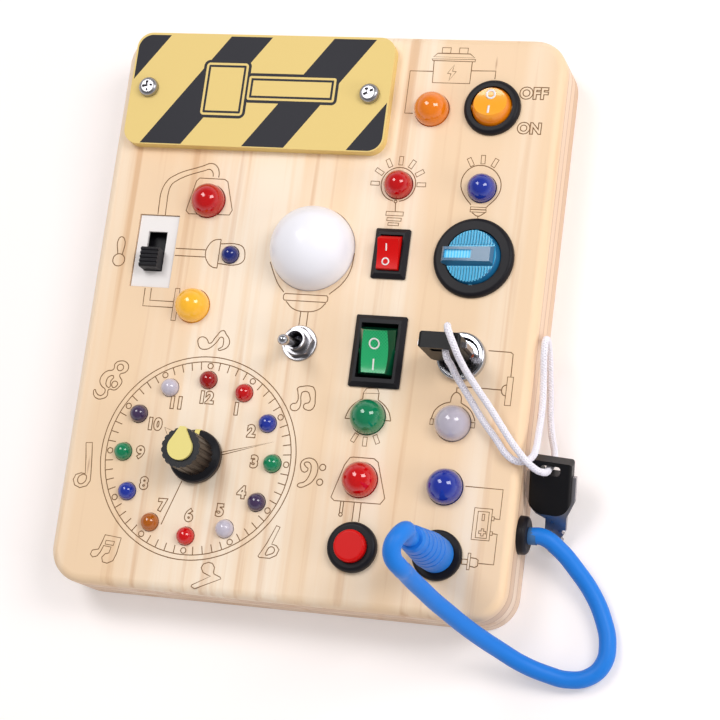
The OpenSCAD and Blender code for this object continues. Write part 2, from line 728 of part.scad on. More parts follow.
module toggle_body() {
    color("silver") translate([toggle_at[0], toggle_at[1], 0]) difference() {
        union() {
            translate([-4, -6.6, inner_face - 8]) cube([8, 13.2, 8]);
            translate([0, 0, inner_face - 0.5]) cylinder(r = bushing_r, h = bushing_top - inner_face + 0.5);
        }
        translate([0, 0, lever_pivot_z - 3]) cylinder(r = bushing_r - 0.5, h = 20);
        translate([0, 0, lever_pivot_z]) rotate([0, 90, 0])
            cylinder(r = lever_pin_r + run_gap, h = 3 * bushing_r, center = true);
    }
}

module toggle_nut() {
    color("lightgray") translate([toggle_at[0], toggle_at[1], face]) {
        difference() {
            union() {
                ring(5.25, washer_t, 1, 0.2);
                translate([0, 0, washer_t]) intersection() {
                    rotate([0, 0, 12]) cylinder(d = 8 / cos(30), h = nut_t, $fn = 6);
                    ring(4.5, nut_t, 1, 0.6);
                }
            }
            translate([0, 0, -1]) cylinder(r = bushing_r + 0.05, h = nut_t + washer_t + 2);
        }
    }
}

// Chrome lever on a ball, hung on a pin that crosses the bushing
module toggle_lever() {
    ball = bushing_r - 0.5 - run_gap;
    tip_r = 1.6;
    tip_z = lever_h - tip_r;
    color("gainsboro") translate([toggle_at[0], toggle_at[1], lever_pivot_z]) {
        rotate([lever_lean, 0, 0]) rotate_extrude() intersection() {
            union() {
                circle(ball);
                polygon([[0, 0], [1.1, 0], [1.1, 6], [tip_r, tip_z - 1], [tip_r, tip_z], [0, tip_z]]);
                translate([0, tip_z]) circle(tip_r);
            }
            translate([0, -ball]) square([ball, lever_h + ball]);
        }
        rotate([0, 90, 0]) cylinder(r = lever_pin_r, h = 2 * bushing_r - 0.1, center = true);
    }
}

// ---------- lock and keys ----------

core_top = face + 1;
core_bottom = face - 12;

module lock_body() {
    rim_h = 2.1;
    color("silver") translate([lock_at[0], lock_at[1], 0]) difference() {
        union() {
            translate([0, 0, face]) ring(lock_flange_r, rim_h, 1, 0.8);
            translate([0, 0, face - barrel_depth]) cylinder(r = barrel_r, h = barrel_depth);
        }
        translate([0, 0, face + 0.7]) cylinder(r1 = 4.9, r2 = 5.9, h = rim_h);
        translate([0, 0, core_bottom]) cylinder(r = core_r + run_gap, h = 20);
        translate([0, 0, 0]) cylinder(r = core_r + 0.9 + run_gap, h = core_bottom + 1.6 + run_gap);
    }
}

module lock_core() {
    color("gray") translate([lock_at[0], lock_at[1], 0]) difference() {
        union() {
            translate([0, 0, core_bottom]) cylinder(r = core_r, h = core_top - core_bottom);
            translate([0, 0, core_bottom]) cylinder(r = core_r + 0.9, h = 1.5);
        }
        translate([-collar_w / 2 - slot_gap, -blank_t / 2 - slot_gap, core_bottom + 1])
            cube([collar_w + 2 * slot_gap, blank_t + 2 * slot_gap, 20]);
    }
}

// Metal blank of a key, upright: the underside of its black head is at z = 0
module blank() {
    left = head_shift - bow_w / 2;
    right = head_shift + bow_w / 2;
    rotate([90, 0, 0]) linear_extrude(blank_t, center = true) difference() {
        union() {
            polygon([[left, bow_h], [left, 4.4], [left + 1.2, 1.4], [left + 3.2, -0.6], [-collar_w / 2, -1.8],
                     [-collar_w / 2, -5.2], [-blade_w / 2, -6], [-blade_w / 2, blade_w / 2 - key_blade_l],
                     [blade_w / 2, blade_w / 2 - key_blade_l], [blade_w / 2, -6], [collar_w / 2, -5.2],
                     [collar_w / 2, -0.8], [right - 1.2, 1.4], [right, 4.4], [right, bow_h]]);
            translate([0, blade_w / 2 - key_blade_l]) circle(blade_w / 2);
        }
        for (i = [0 : 2]) translate([blade_w / 2 + 0.2, 3.4 - key_blade_l + 1.9 * i])
            circle(0.8 - 0.1 * i, $fn = 24);
    }
}

// Black cover over the blank, with round lower corners and the slot for the string
module key_cover() {
    low_r = 4.5;
    top_r = 1;
    translate([head_shift, 0, 0]) difference() {
        intersection() {
            rotate([90, 0, 0]) linear_extrude(key_head_t, center = true) union() {
                translate([-key_head_w / 2, low_r]) square([key_head_w, key_head_h - low_r - top_r]);
                translate([low_r - key_head_w / 2, 0]) square([key_head_w - 2 * low_r, key_head_h]);
                translate([top_r - key_head_w / 2, low_r]) square([key_head_w - 2 * top_r, key_head_h - low_r]);
                for (s = [-1, 1]) {
                    translate([s * (key_head_w / 2 - low_r), low_r]) circle(low_r);
                    translate([s * (key_head_w / 2 - top_r), key_head_h - top_r]) circle(top_r);
                }
            }
            translate([0, 0, -1]) linear_extrude(key_head_h + 2) rounded(key_head_w, key_head_t, 1);
        }
        translate([0, 0, key_head_h - string_slot_z]) rotate([90, 0, 0])
            linear_extrude(key_head_t + 2, center = true) rounded(string_slot[0], string_slot[1], 0.8);
        translate([-key_head_w, -blank_t / 2, -1]) cube([2 * key_head_w, blank_t, bow_h + 1]);
    }
}

module at_lock() {
    translate([lock_at[0], lock_at[1], key_bottom]) children();
}

module at_loose_key() {
    translate(loose_key_at) rotate(loose_key_turn) children();
}

module key_blank() color("silver") at_lock() blank();
module key_head() color("#222") at_lock() key_cover();
module loose_key_blank() color("silver") at_loose_key() blank();
module loose_key_head() color("#222") at_loose_key() key_cover();

// ---------- push button ----------

cap_top = face + 4.4;
cap_foot = face - 1;
spring_foot = face - 6.5;

module button_body() {
    color("#222") translate([button_at[0], button_at[1], 0]) difference() {
        union() {
            translate([0, 0, face]) ring(button_bezel_r, 2.4, 1, 1.2);
            translate([0, 0, face - barrel_depth]) cylinder(r = barrel_r, h = barrel_depth);
        }
        translate([0, 0, spring_foot]) cylinder(r = button_cap_r + 0.1, h = 20);
        translate([0, 0, face - barrel_depth + 0.6]) cylinder(r = 2 + run_gap, h = 20);
    }
}

module button_cap() {
    color("red") translate([button_at[0], button_at[1], 0]) {
        translate([0, 0, cap_foot]) rotate_extrude() intersection() {
            disc_profile(button_cap_r, cap_top - cap_foot, 0.8);
            square([button_cap_r, cap_top - cap_foot]);
        }
        translate([0, 0, face - barrel_depth + 1 + button_travel])
            cylinder(r = 2, h = barrel_depth - button_travel - 1.5);
    }
}

module button_spring() {
    turns = 3;
    steps = 14;
    wire = 0.28;
    coil = 3.2;
    rise = cap_foot - spring_foot - 2 * wire;
    path = [for (i = [0 : turns * steps]) [coil * cos(360 * i / steps), coil * sin(360 * i / steps),
        rise * i / (turns * steps)]];
    color("silver") translate([button_at[0], button_at[1], spring_foot + wire])
        tube(path, 0, turns * steps, wire, 6);
}

// ---------- clock ----------

bushing_nut_r = shaft_r + 0.7;

module rotary_switch() {
    color("silver") translate([clock_at[0], clock_at[1], 0]) difference() {
        union() {
            translate([0, 0, pcb_top]) cylinder(r = 8, h = inner_face - pcb_top);
            translate([0, 0, inner_face - 0.5]) cylinder(r = bushing_nut_r, h = layer_t + 0.5 + nut_t + 0.6);
        }
        translate([0, 0, pcb_top + 1.5]) cylinder(r = shaft_r + run_gap, h = 30);
    }
}

module rotary_shaft() {
    color("silver") translate([clock_at[0], clock_at[1], pcb_top + 1.6])
        cylinder(r = shaft_r, h = knob_foot + knob_h - 3.5 - pcb_top - 1.6);
}

knob_foot = face + 0.5;

// Outline of the stripe that runs down the body and over the skirt, in distance and height
function stripe_outline(proud) = let (top = knob_h - 0.5, body_r = knob_r * 0.75) [
    [body_r - 0.6, top], [body_r + proud, top], [body_r + proud, 2.9], [knob_r - 0.3 + proud, 2.2],
    [knob_r + proud, 1.6], [knob_r + proud, 0.3], [knob_r - 0.7, 0.3], [knob_r - 0.7, 1.4],
    [body_r - 0.6, 2.2]];

module stripe(proud) {
    rotate([0, 0, 90]) rotate([90, 0, 0]) linear_extrude(1.5, center = true)
        polygon(stripe_outline(proud));
}

module knob() {
    body_r = knob_r * 0.75;
    top = knob_h - 0.5;
    color("#111") translate([clock_at[0], clock_at[1], knob_foot]) difference() {
        union() {
            rotate_extrude() polygon([[0, 0], [knob_r, 0], [knob_r, 1.6], [knob_r - 0.4, 2.1],
                [body_r - 0.6, 2.9], [0, 2.9]]);
            translate([0, 0, 1]) linear_extrude(top - 1) difference() {
                circle(body_r);
                for (i = [0 : 17]) rotate(20 * i) translate([body_r + 0.3, 0]) circle(0.62, $fn = 24);
            }
        }
        translate([0, 0, -1]) cylinder(r = 5.8, h = nut_t + 1.2);
        translate([0, 0, -1]) cylinder(r = bushing_nut_r + 0.3, h = nut_t + 2.2);
        translate([0, 0, -1]) cylinder(r = shaft_r + 0.02, h = knob_h - 2.5);
        stripe(2);
    }
}

// Drop-shaped yellow cap on top of the knob, with its stripe down the skirt
module knob_pointer() {
    drop_r = 3.7;
    tip = knob_r * 0.75 + 0.2;
    color("khaki") translate([clock_at[0], clock_at[1], knob_foot]) {
        translate([0, 0, knob_h - 0.5]) linear_extrude(1) {
            circle(drop_r);
            polygon([[0, 0], [-drop_r * 0.84, drop_r * 0.52], [-0.75, tip], [0.75, tip],
                     [drop_r * 0.84, drop_r * 0.52]]);
        }
        stripe(0.15);
    }
}

// ---------- socket and plug ----------

module socket() {
    color("#111") translate([socket_at[0], socket_at[1], 0]) difference() {
        union() {
            translate([0, 0, face]) ring(socket_ring_r, 1.6, 1, 0.7);
            translate([0, 0, face - barrel_depth]) cylinder(r = barrel_r, h = barrel_depth);
        }
        translate([0, 0, face - barrel_depth + 1]) cylinder(r = jack_r, h = 30);
    }
}

plug_foot = face + 1.8;
plug_top = face + plug_h;
plug_tail_r = 3.8;
groove_n = 5;

// Blue boot: wide foot, long cone with ring grooves, and the tail that grips the cable
module plug_body() {
    len = plug_top - plug_foot;
    color("dodgerblue") translate([socket_at[0], socket_at[1], plug_foot]) difference() {
        rotate_extrude() {
            polygon([[0, 0], [plug_r - 0.4, 0], [plug_r, 0.6], [plug_r, len * 0.3],
                     [plug_tail_r, len * 0.95], [plug_tail_r - 0.5, len], [0, len]]);
        }
        for (i = [0 : groove_n - 1]) {
            z = len * (0.36 + 0.12 * i);
            r = plug_r - (plug_r - plug_tail_r) * (z / len - 0.3) / 0.65;
            translate([0, 0, z]) rotate_extrude() translate([r + 0.1, 0]) circle(0.42, $fn = 24);
        }
    }
}

module plug_pin() {
    color("gold") translate([socket_at[0], socket_at[1], plug_foot - 10]) {
        cylinder(r = plug_pin_r, h = 10);
        translate([0, 0, -1.2]) cylinder(r1 = plug_pin_r * 0.4, r2 = plug_pin_r, h = 1.2);
    }
}

// ---------- lamps ----------

// Moulded lamp: dome, cylinder, rim and two leads
module lamp(at, d) {
    centre_z = face + (d > 6 ? lamp_lift : lamp_lift / 3);
    translate([at[0], at[1], lamp_foot_z]) {
        rotate_extrude() intersection() {
            union() {
                square([d / 2, centre_z - lamp_foot_z]);
                square([d / 2 + 0.5, lamp_foot_t]);
                translate([0, centre_z - lamp_foot_z]) circle(d / 2);
            }
            square([d, face]);
        }
        for (s = [-1, 1]) translate([s * lead_pitch / 2, 0, lead_end - lamp_foot_z])
            cylinder(r = lead_r, h = lamp_foot_z - lead_end, $fn = 16);
    }
}

module clock_lamps(hours) {
    for (hour = hours) lamp(clock_place(hour), small_lamp_d);
}

module red_lamps() {
    color("red") {
        lamp(red_small_at, mid_lamp_d);
        lamp(lamp_red_side, big_lamp_d);
        lamp(lamp_red_at, big_lamp_d);
        clock_lamps([0, 1, 6]);
    }
}

module blue_lamps() {
    color("blue") {
        lamp(blue_small_at, mid_lamp_d);
        lamp(lamp_blue_side, small_lamp_d);
        lamp(lamp_blue_at, big_lamp_d);
        clock_lamps([2, 8]);
    }
}

module green_lamps() {
    color("seagreen") {
        lamp(lamp_green_at, big_lamp_d);
        clock_lamps([3, 9]);
    }
}

module clear_lamps() {
    color("lavender") {
        lamp(lamp_clear_at, big_lamp_d);
        clock_lamps([5, 11]);
    }
}

module amber_lamps() {
    color("darkorange") {
        lamp(amber_lamp_at, big_lamp_d);
        clock_lamps([7]);
    }
}

module yellow_lamp() color("gold") lamp(lamp_yellow_side, big_lamp_d);
module purple_lamps() color("purple") clock_lamps([4, 10]);

dome_rim_z = inner_face - 1.5;

module white_dome() {
    r = dome_d / 2;
    color("white") translate([dome_at[0], dome_at[1], 0]) rotate_extrude() difference() {
        union() {
            translate([0, dome_rim_z]) square([r, face - dome_rim_z]);
            translate([0, dome_rim_z]) square([r + 2.4, inner_face - dome_rim_z]);
            intersection() {
                translate([0, face]) circle(r);
                translate([0, face]) square([r, r]);
            }
        }
        translate([-1, dome_rim_z - 1]) square([r - dome_wall + 1, face - dome_rim_z + 1]);
        translate([0, face]) circle(r - dome_wall);
        translate([-2 * r, 0]) square([2 * r, 4 * r]);
    }
}

// White lamp below the dome, on its round carrier
module dome_lamp() {
    color("ivory") translate([dome_at[0], dome_at[1], dome_rim_z - pcb_t]) {
        cylinder(r = dome_d / 2 + 1.4, h = pcb_t);
        translate([0, 0, pcb_t]) cylinder(r = 2.5, h = 2.5);
        translate([0, 0, pcb_t + 2.5]) sphere(2.5);
    }
}

// ---------- circuit boards ----------

function top_board_posts() = [(red_small_at + blue_small_at) / 2 + [0, 1], amber_lamp_at - [3, 12.5],
    amber_lamp_at + [0, 9.5]];
function side_board_posts() = [for (at = [lamp_red_side, lamp_yellow_side]) [lamp_blue_side[0], at[1]]];
function main_board_posts() = [(lamp_green_at + lamp_clear_at) / 2, (lamp_red_at + lamp_blue_at) / 2];
function clock_board_posts() = [for (a = [75, 195, 315]) clock_at + 15.5 * [sin(a), cos(a)]];
function all_posts() =
    concat(top_board_posts(), side_board_posts(), main_board_posts(), clock_board_posts());

module board_area(low, high) {
    translate([low[0], low[1], pcb_z]) cube([high[0] - low[0], high[1] - low[1], pcb_t]);
}

module lead_holes(at) {
    for (s = [-1, 1]) translate([at[0] + s * lead_pitch / 2, at[1], pcb_z - 1])
        cylinder(r = lead_r + lead_gap, h = pcb_t + 2, $fn = 16);
}

module circuit_boards() {
    color("darkgreen") difference() {
        union() {
            board_area(red_small_at - [6, 5], blue_small_at + [6, 8]);
            board_area([amber_lamp_at[0] - 6, red_small_at[1] + 5], amber_lamp_at + [7, 12]);
            board_area(lamp_yellow_side - [5, 2.8], [lamp_blue_side[0] + 4, lamp_red_side[1] + 2.8]);
            board_area(lamp_red_at - [6, 5], lamp_clear_at + [6, 5]);
            translate([clock_at[0], clock_at[1], pcb_z]) cylinder(r = clock_ring_r + 3.5, h = pcb_t);
        }
        for (at = [amber_lamp_at, red_small_at, blue_small_at, lamp_red_side, lamp_yellow_side,
                   lamp_blue_side, lamp_green_at, lamp_clear_at, lamp_red_at, lamp_blue_at])
            lead_holes(at);
        for (hour = [0 : 11]) lead_holes(clock_place(hour));
        for (at = all_posts()) translate([at[0], at[1], pcb_z - 1]) cylinder(r = 1.25, h = pcb_t + 2);
    }
}

// Each board hangs from the front panel on posts; a pin goes through the board
module board_spacers() {
    color("ivory") for (at = all_posts()) translate([at[0], at[1], 0]) {
        translate([0, 0, pcb_top]) cylinder(r = spacer_r, h = inner_face - pcb_top);
        translate([0, 0, pcb_z - 1]) cylinder(r = 1.15, h = pcb_t + 1.5);
    }
}

// ---------- fastenings and terminals behind the panel ----------

module panel_nuts() {
    color("silver") {
        for (at = [lock_at, button_at, socket_at])
            translate([at[0], at[1], inner_face - nut_t]) hex(14, nut_t, barrel_r + 0.03);
        translate([clock_at[0], clock_at[1], face]) hex(9.6, nut_t, bushing_nut_r + 0.03);
    }
}

module tabs_at(at, spots, z) {
    for (spot = spots) translate([at[0] + spot[0], at[1] + spot[1], z - tab[2] / 2])
        cube(tab, center = true);
}

module switch_terminals() {
    switch_foot = face - body_depth;
    color("gold") {
        tabs_at(amber_at, [[0, -4], [0, 4]], switch_foot);
        tabs_at(round_at, [[-5, 0], [0, 0], [5, 0]], switch_foot);
        tabs_at(red_at, [[0, -4], [0, 4]], switch_foot);
        tabs_at(green_at, [[0, -6], [0, 0], [0, 6]], switch_foot);
        tabs_at(slide_at, [[0, -6], [0, -2], [0, 2], [0, 6]], switch_foot);
    }
}

// ---------- battery box ----------

module battery_box() {
    h = box_top - box_bottom;
    color("#333") translate([box_x, box_y, box_bottom]) difference() {
        union() {
            translate([-box_out[0] / 2, -box_out[1] / 2, 0]) cube([box_out[0], box_out[1], h]);
            translate([0, 0, layer_t - box_bottom]) linear_extrude(1.5)
                rounded(box_out[0] + 2 * box_ear, 12, 2);
        }
        for (i = [-1 : 1]) translate([-box_out[0] / 2 + box_wall, i * cell_pitch - cell_pitch / 2 + 0.3, -1])
            cube([box_in[0], cell_pitch - 0.6, h + 1 - box_wall]);
        translate([door_screw_x, 0, -1]) cylinder(r = 1.02, h = 8);
    }
}

function cell_z() = box_top - box_wall - cell_d / 2 - 0.1;

module battery_cells() {
    color("gray") for (i = [-1 : 1]) translate([box_x - box_post / 2, box_y + i * cell_pitch, cell_z()])
        rotate([0, i == 0 ? 90 : -90, 0]) translate([0, 0, -cell_l / 2]) {
            cylinder(d = cell_d, h = cell_l - 1);
            cylinder(d = 3.8, h = cell_l);
        }
}

module door_screw() {
    color("silver") translate([box_x + door_screw_x, box_y, 0.1]) wood_screw(2, 7);
}

// Sprung contacts: a plate at each end of a cell, with a raised middle
module battery_contacts() {
    reach = box_in[0] / 2;
    color("silver") for (i = [-1 : 1], s = [-1, 1])
        translate([box_x - box_post / 2 + s * reach, box_y + i * cell_pitch, cell_z()]) {
            translate([s * -0.2, 0, 0]) cube([0.4, 8, 8], center = true);
            rotate([0, -s * 90, 0]) cylinder(r1 = 2.8, r2 = 1.6, h = reach - cell_l / 2 - 0.02);
        }
}

module battery_door() {
    color("#333") translate([box_x, box_y, 0]) difference() {
        linear_extrude(door_t)
            rounded(box_out[0] + 2 * door_lip - 0.5, box_out[1] + 2 * door_lip - 0.5, 2.8);
        translate([door_screw_x, 0, -1]) cylinder(r = 1.2, h = door_t + 2);
        translate([door_screw_x, 0, -0.1]) cylinder(r1 = 2.3, r2 = 1.1, h = 1.3);
        for (i = [0 : 4]) translate([-box_out[0] / 2 + 3 + 1.6 * i, -6, -0.3]) cube([0.7, 12, 0.8]);
    }
}

// ---------- cords ----------

module cable() {
    color("dodgerblue") tube(cable_route, 0, len(cable_route) - 1, cable_d / 2, 10);
}

module grommet() {
    color("#111") translate([board_w / 2, grommet_y, grommet_z]) rotate([0, 90, 0]) difference() {
        union() {
            ring(grommet_flange_r, grommet_t, 1, 1.2);
            translate([0, 0, -wall_w - 1]) cylinder(r = grommet_neck_r - 0.05, h = wall_w + 1.5);
        }
        translate([0, 0, -wall_w - 2]) cylinder(r = 1.6, h = wall_w + grommet_t + 3);
    }
}

module string() {
    color("white") tube(string_route, string_out_n, string_back_n, string_d / 2, 8);
}

module string_at_key() {
    color("white") {
        tube(string_route, 0, string_out_n, string_d / 2, 8);
        tube(string_route, string_back_n, len(string_route) - 1, string_d / 2, 8);
    }
}

front_panel();
upper_frame();
lower_frame();
back_panel();
back_screws();
sign_plate();
sign_screws();
amber_switch_housing();
amber_rocker();
red_switch_housing();
red_rocker();
green_switch_housing();
green_rocker();
round_switch_housing();
round_rocker();
slide_switch_body();
slide_plate();
slider();
toggle_body();
toggle_nut();
toggle_lever();
lock_body();
lock_core();
key_blank();
key_head();
button_body();
button_cap();
button_spring();
rotary_switch();
rotary_shaft();
knob();
knob_pointer();
panel_nuts();
socket();
plug_body();
plug_pin();
cable();
grommet();
red_lamps();
blue_lamps();
green_lamps();
clear_lamps();
amber_lamps();
yellow_lamp();
purple_lamps();
white_dome();
dome_lamp();
circuit_boards();
board_spacers();
switch_terminals();
battery_box();
battery_contacts();
battery_cells();
battery_door();
door_screw();
string();
string_at_key();
loose_key_blank();
loose_key_head();
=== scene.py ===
# %% [markdown]
# # A wooden busy board
# The board is a slab of pale pine, glued up from four layers, that carries switches, lamps, a clock
# dial, a lock with its keys and a plug on a blue cable. The exact solids come from the CAD model.
# This lesson loads them as a fixed frame, gives every surface its finish, and adds what a solid model
# leaves out: engraved lines, painted stripes, printed marks, and cords that bend.

# %% Load the frame
import math

import bmesh
import bpy
from mathutils import Matrix, Vector, geometry


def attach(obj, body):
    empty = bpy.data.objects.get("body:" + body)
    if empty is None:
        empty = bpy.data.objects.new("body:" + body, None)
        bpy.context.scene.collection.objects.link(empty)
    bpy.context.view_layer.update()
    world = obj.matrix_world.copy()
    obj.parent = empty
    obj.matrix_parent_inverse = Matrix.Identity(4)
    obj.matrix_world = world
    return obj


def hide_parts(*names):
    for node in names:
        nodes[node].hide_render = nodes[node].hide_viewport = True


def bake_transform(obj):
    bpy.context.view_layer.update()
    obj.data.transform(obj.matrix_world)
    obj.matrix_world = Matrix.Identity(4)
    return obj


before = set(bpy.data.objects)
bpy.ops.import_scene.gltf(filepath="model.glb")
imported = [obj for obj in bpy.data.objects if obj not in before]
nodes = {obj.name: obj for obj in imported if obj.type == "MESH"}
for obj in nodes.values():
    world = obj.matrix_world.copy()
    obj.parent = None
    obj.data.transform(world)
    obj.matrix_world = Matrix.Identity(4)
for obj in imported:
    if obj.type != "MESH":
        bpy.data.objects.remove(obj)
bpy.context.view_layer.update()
MM = 0.001
FACE = 20 * MM

# %% [markdown]
# ## Adding things
# A few short functions put new things into the scene. `add_shape` makes a piece from a bmesh, and
# `as_mesh` turns a curve or a text into a mesh, because a mesh can take any shape and finish.

# %% Add objects
def add_object(name, data):
    thing = bpy.data.objects.new(name, data)
    bpy.context.scene.collection.objects.link(thing)
    return thing


def add_shape(name, shape):
    """Make a piece from a bmesh and free the bmesh."""
    mesh = bpy.data.meshes.new(name)
    shape.to_mesh(mesh)
    shape.free()
    return add_object(name, mesh)


def smooth_faces(mesh):
    for face in mesh.polygons:
        face.use_smooth = True


def as_mesh(thing, name):
    """Turn a curve or text object into a mesh object whose place is in its vertices."""
    bpy.context.view_layer.update()
    shape = thing.evaluated_get(bpy.context.evaluated_depsgraph_get())
    mesh = bpy.data.meshes.new_from_object(shape)
    mesh.transform(thing.matrix_world)
    mesh.name = name
    bpy.data.objects.remove(thing)
    smooth_faces(mesh)
    return add_object(name, mesh)


print("objects can be added")

# %% [markdown]
# ## The camera
# The board is seen from above and a little from the right, through a long lens, so that its long
# edges stay nearly parallel. The lens and the place were worked out from the board's corners and the
# middles of its switches, whose places on the board are known.

# %% Set the camera
camera_data = bpy.data.cameras.new("camera")
camera_data.lens = 110
camera_data.sensor_width = 36
camera = add_object("camera", camera_data)
camera.location = (0.2015, -0.14801, 0.60858)
camera.rotation_euler = [math.radians(angle) for angle in (14.463, 15.545, 7.730)]
bpy.context.scene.camera = camera
print("camera looks from", tuple(camera.location))

# %% [markdown]
# ## Cords
# A cord is a tube on a smooth curve. A Bezier curve with automatic handles passes through every
# point of the route, so it bends like a real cord and has no corners. The curve is turned into a
# mesh.

# %% Make a tube along a route
def tube_data(name, radius, sides, steps=12):
    """A curve without a line yet, that will be drawn as a round tube."""
    data = bpy.data.curves.new(name, "CURVE")
    data.dimensions = "3D"
    data.bevel_depth = radius
    data.bevel_resolution = sides
    data.resolution_u = steps
    return data


def add_spline(data, points, bent, closed=False):
    """Add a line through the points, bent or straight between them."""
    spline = data.splines.new("BEZIER" if bent else "POLY")
    knots = spline.bezier_points if bent else spline.points
    knots.add(len(points) - 1)
    for knot, place in zip(knots, points):
        if bent:
            knot.co = place
            knot.handle_left_type = knot.handle_right_type = "AUTO"
        else:
            knot.co = (*place, 1)
    spline.use_cyclic_u = closed


def lay_cord(name, route, radius, sides):
    """A cord through the points of a route, with its middle line and its length."""
    data = tube_data(name, radius * MM, sides, 6)
    data.use_fill_caps = True
    add_spline(data, [Vector(place) * MM for place in route], bent=True)
    curve = add_object(name, data)
    bpy.context.view_layer.update()
    knots = curve.data.splines[0].bezier_points
    path = [knots[0].co.copy()]
    for a, b in zip(knots, knots[1:]):
        path += geometry.interpolate_bezier(a.co, a.handle_right, b.handle_left, b.co, 7)[1:]
    length = sum((b - a).length for a, b in zip(path, path[1:]))
    return as_mesh(curve, name), path, length


print("cords can be laid")

# %% [markdown]
# The blue cable leaves the plug straight up, turns over in one loop, comes down past the corner of
# the board, lies on the table for a short way and climbs back to the grommet in the side.

# %% Lay the blue cable
CABLE_RADIUS = 2.45
CABLE = [
    (47.9, -68, 50), (47.9, -68, 55), (49, -67.5, 59.8), (48.2, -69.5, 63), (47.1, -72.4, 63.8),
    (47.2, -75.3, 62.7), (48.7, -77.4, 59.4), (48.4, -77.6, 53.9), (49.3, -79, 47.8),
    (51, -80.7, 41.9), (52.8, -82.5, 36), (55.3, -84.4, 30.3), (58.4, -86.7, 24.2),
    (62.3, -89.1, 18.1), (66.7, -91.4, 12.2), (72.4, -94.1, 7.9), (79, -96, 5), (85, -96.8, 3.2),
    (90.6, -95.4, 2.6), (94.2, -91.4, 2.6), (94.8, -85.6, 2.6), (93, -79.4, 2.6),
    (89.4, -72.6, 3.4), (84.6, -66.6, 5.6), (79.6, -61.6, 8.2), (74.85, -58.7, 10),
    (70.85, -58.7, 10),
]
cable_sleeve, cable_line, cable_length = lay_cord("cable_sleeve", CABLE[::-1], CABLE_RADIUS, 6)
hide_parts("cable")
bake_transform(cable_sleeve)
print("cable", round(cable_length, 4), "m")

# %% [markdown]
# The white string is one closed loop of braided cord. It runs through the slot of the key in the
# lock, across the face, through the slot of the loose key, and back over the edge of the board.

# %% Lay the white string
STRING_CORE_RADIUS = 0.64
STRING = [
    (47.5, -11.2, 37), (47.5, -8.8, 37.1), (47.6, -7.8, 38), (48, -7.2, 40.1), (48.5, -8, 41.7),
    (49.4, -9.9, 42.4), (50.3, -11.8, 41.8), (51, -13.3, 41.1), (51.6, -14.9, 39.4),
    (52.2, -16.4, 36.7), (53.2, -18.2, 34), (54.7, -20.4, 31.2), (56.8, -23.2, 29),
    (59.1, -26.1, 26.6), (61.7, -29.6, 24.9), (64.9, -33.8, 24), (68.1, -37.5, 24.1),
    (70.9, -40.3, 23.6), (73, -41.8, 21.6), (74.4, -42.1, 19.6), (75.3, -41.7, 17.5),
    (75.5, -40, 14.7), (75.6, -38.5, 12.3), (75.4, -36, 9), (74.4, -32.8, 6.2), (72.9, -28.6, 4.2),
    (71.6, -23, 3), (70.9, -16.6, 3), (70.5, -11, 4.9), (70.3, -6, 7.6), (70.2, -2.9, 11.5),
    (70.4, -3.8, 15.7), (70.8, -8, 17.5), (71, -15, 15.2), (71.3, -23.6, 13.9),
    (71.5, -31.4, 15.9), (71.8, -35.1, 18.1), (71.4, -38.1, 19.9), (69.8, -39.7, 21),
    (67.5, -40, 21.8), (65, -38.8, 22.2), (61.1, -34.4, 21.7), (56.3, -28.7, 23.4),
    (53.8, -25, 25.5), (51.6, -21.8, 28.2), (49.8, -19.1, 30.9), (48.9, -17, 33.9),
    (47.9, -15.3, 36.2), (47.5, -13.6, 37), (47.5, -11.2, 37),
]
string_braid, string_line, string_length = lay_cord("string_braid", STRING, STRING_CORE_RADIUS, 3)
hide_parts("string", "string_at_key")
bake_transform(string_braid)
print("string", round(string_length, 4), "m")

# %% [markdown]
# ## Materials
# Each finish is a small node tree. `new_material` makes one with its shader ready, and the pieces
# below add what differs over the surface. A value that is the same all over stays on the shader.

# %% Material helpers
def linear(red, green, blue):
    """A colour as seen on a screen, from 0 to 255, in the linear values that shaders use."""
    channels = [value / 255 for value in (red, green, blue)]
    return tuple(c / 12.92 if c < 0.04045 else ((c + 0.055) / 1.055) ** 2.4 for c in channels) + (1,)


def set_values(node, values):
    """Set a node's inputs by their labels, with _ for a space."""
    for label, value in values.items():
        node.inputs[label.replace("_", " ")].default_value = value


def new_material(name, colour, roughness, **values):
    material = bpy.data.materials.new(name)
    material.use_nodes = True
    shader = material.node_tree.nodes["Principled BSDF"]
    set_values(shader, {"Base Color": colour, "Roughness": roughness, **values})
    return material, material.node_tree, shader


def finish_nodes(material, *names):
    for name in names:
        mesh = nodes[name].data
        mesh.materials.clear()
        mesh.materials.append(material)


print("middle grey is", linear(128, 128, 128))

# %% [markdown]
# A pattern is arithmetic on the place of a surface point. These functions each add one node, and
# take either a fixed value or the output of another node for every input.

# %% Node helpers
def link(tree, source, target):
    tree.links.new(source, target)


def feed(tree, sockets, values):
    for socket, value in zip(sockets, values):
        if isinstance(value, bpy.types.NodeSocket):
            link(tree, value, socket)
        else:
            socket.default_value = value


def calculate(tree, operation, *values):
    node = tree.nodes.new("ShaderNodeMath")
    node.operation = operation
    feed(tree, node.inputs, values)
    return node.outputs[0]


def times(tree, first, *others):
    for value in others:
        first = calculate(tree, "MULTIPLY", first, value)
    return first


def vector_math(tree, operation, *values):
    node = tree.nodes.new("ShaderNodeVectorMath")
    node.operation = operation
    feed(tree, node.inputs, values)
    return node.outputs["Value" if operation in ("DOT_PRODUCT", "LENGTH", "DISTANCE") else "Vector"]


def part_of(tree, vector, axis):
    parts = tree.nodes.new("ShaderNodeSeparateXYZ")
    link(tree, vector, parts.inputs[0])
    return parts.outputs[axis]


def noise(tree, source, scale, detail):
    node = tree.nodes.new("ShaderNodeTexNoise")
    feed(tree, [node.inputs[label] for label in ("Vector", "Scale", "Detail")], (source, scale, detail))
    return node.outputs["Fac"]


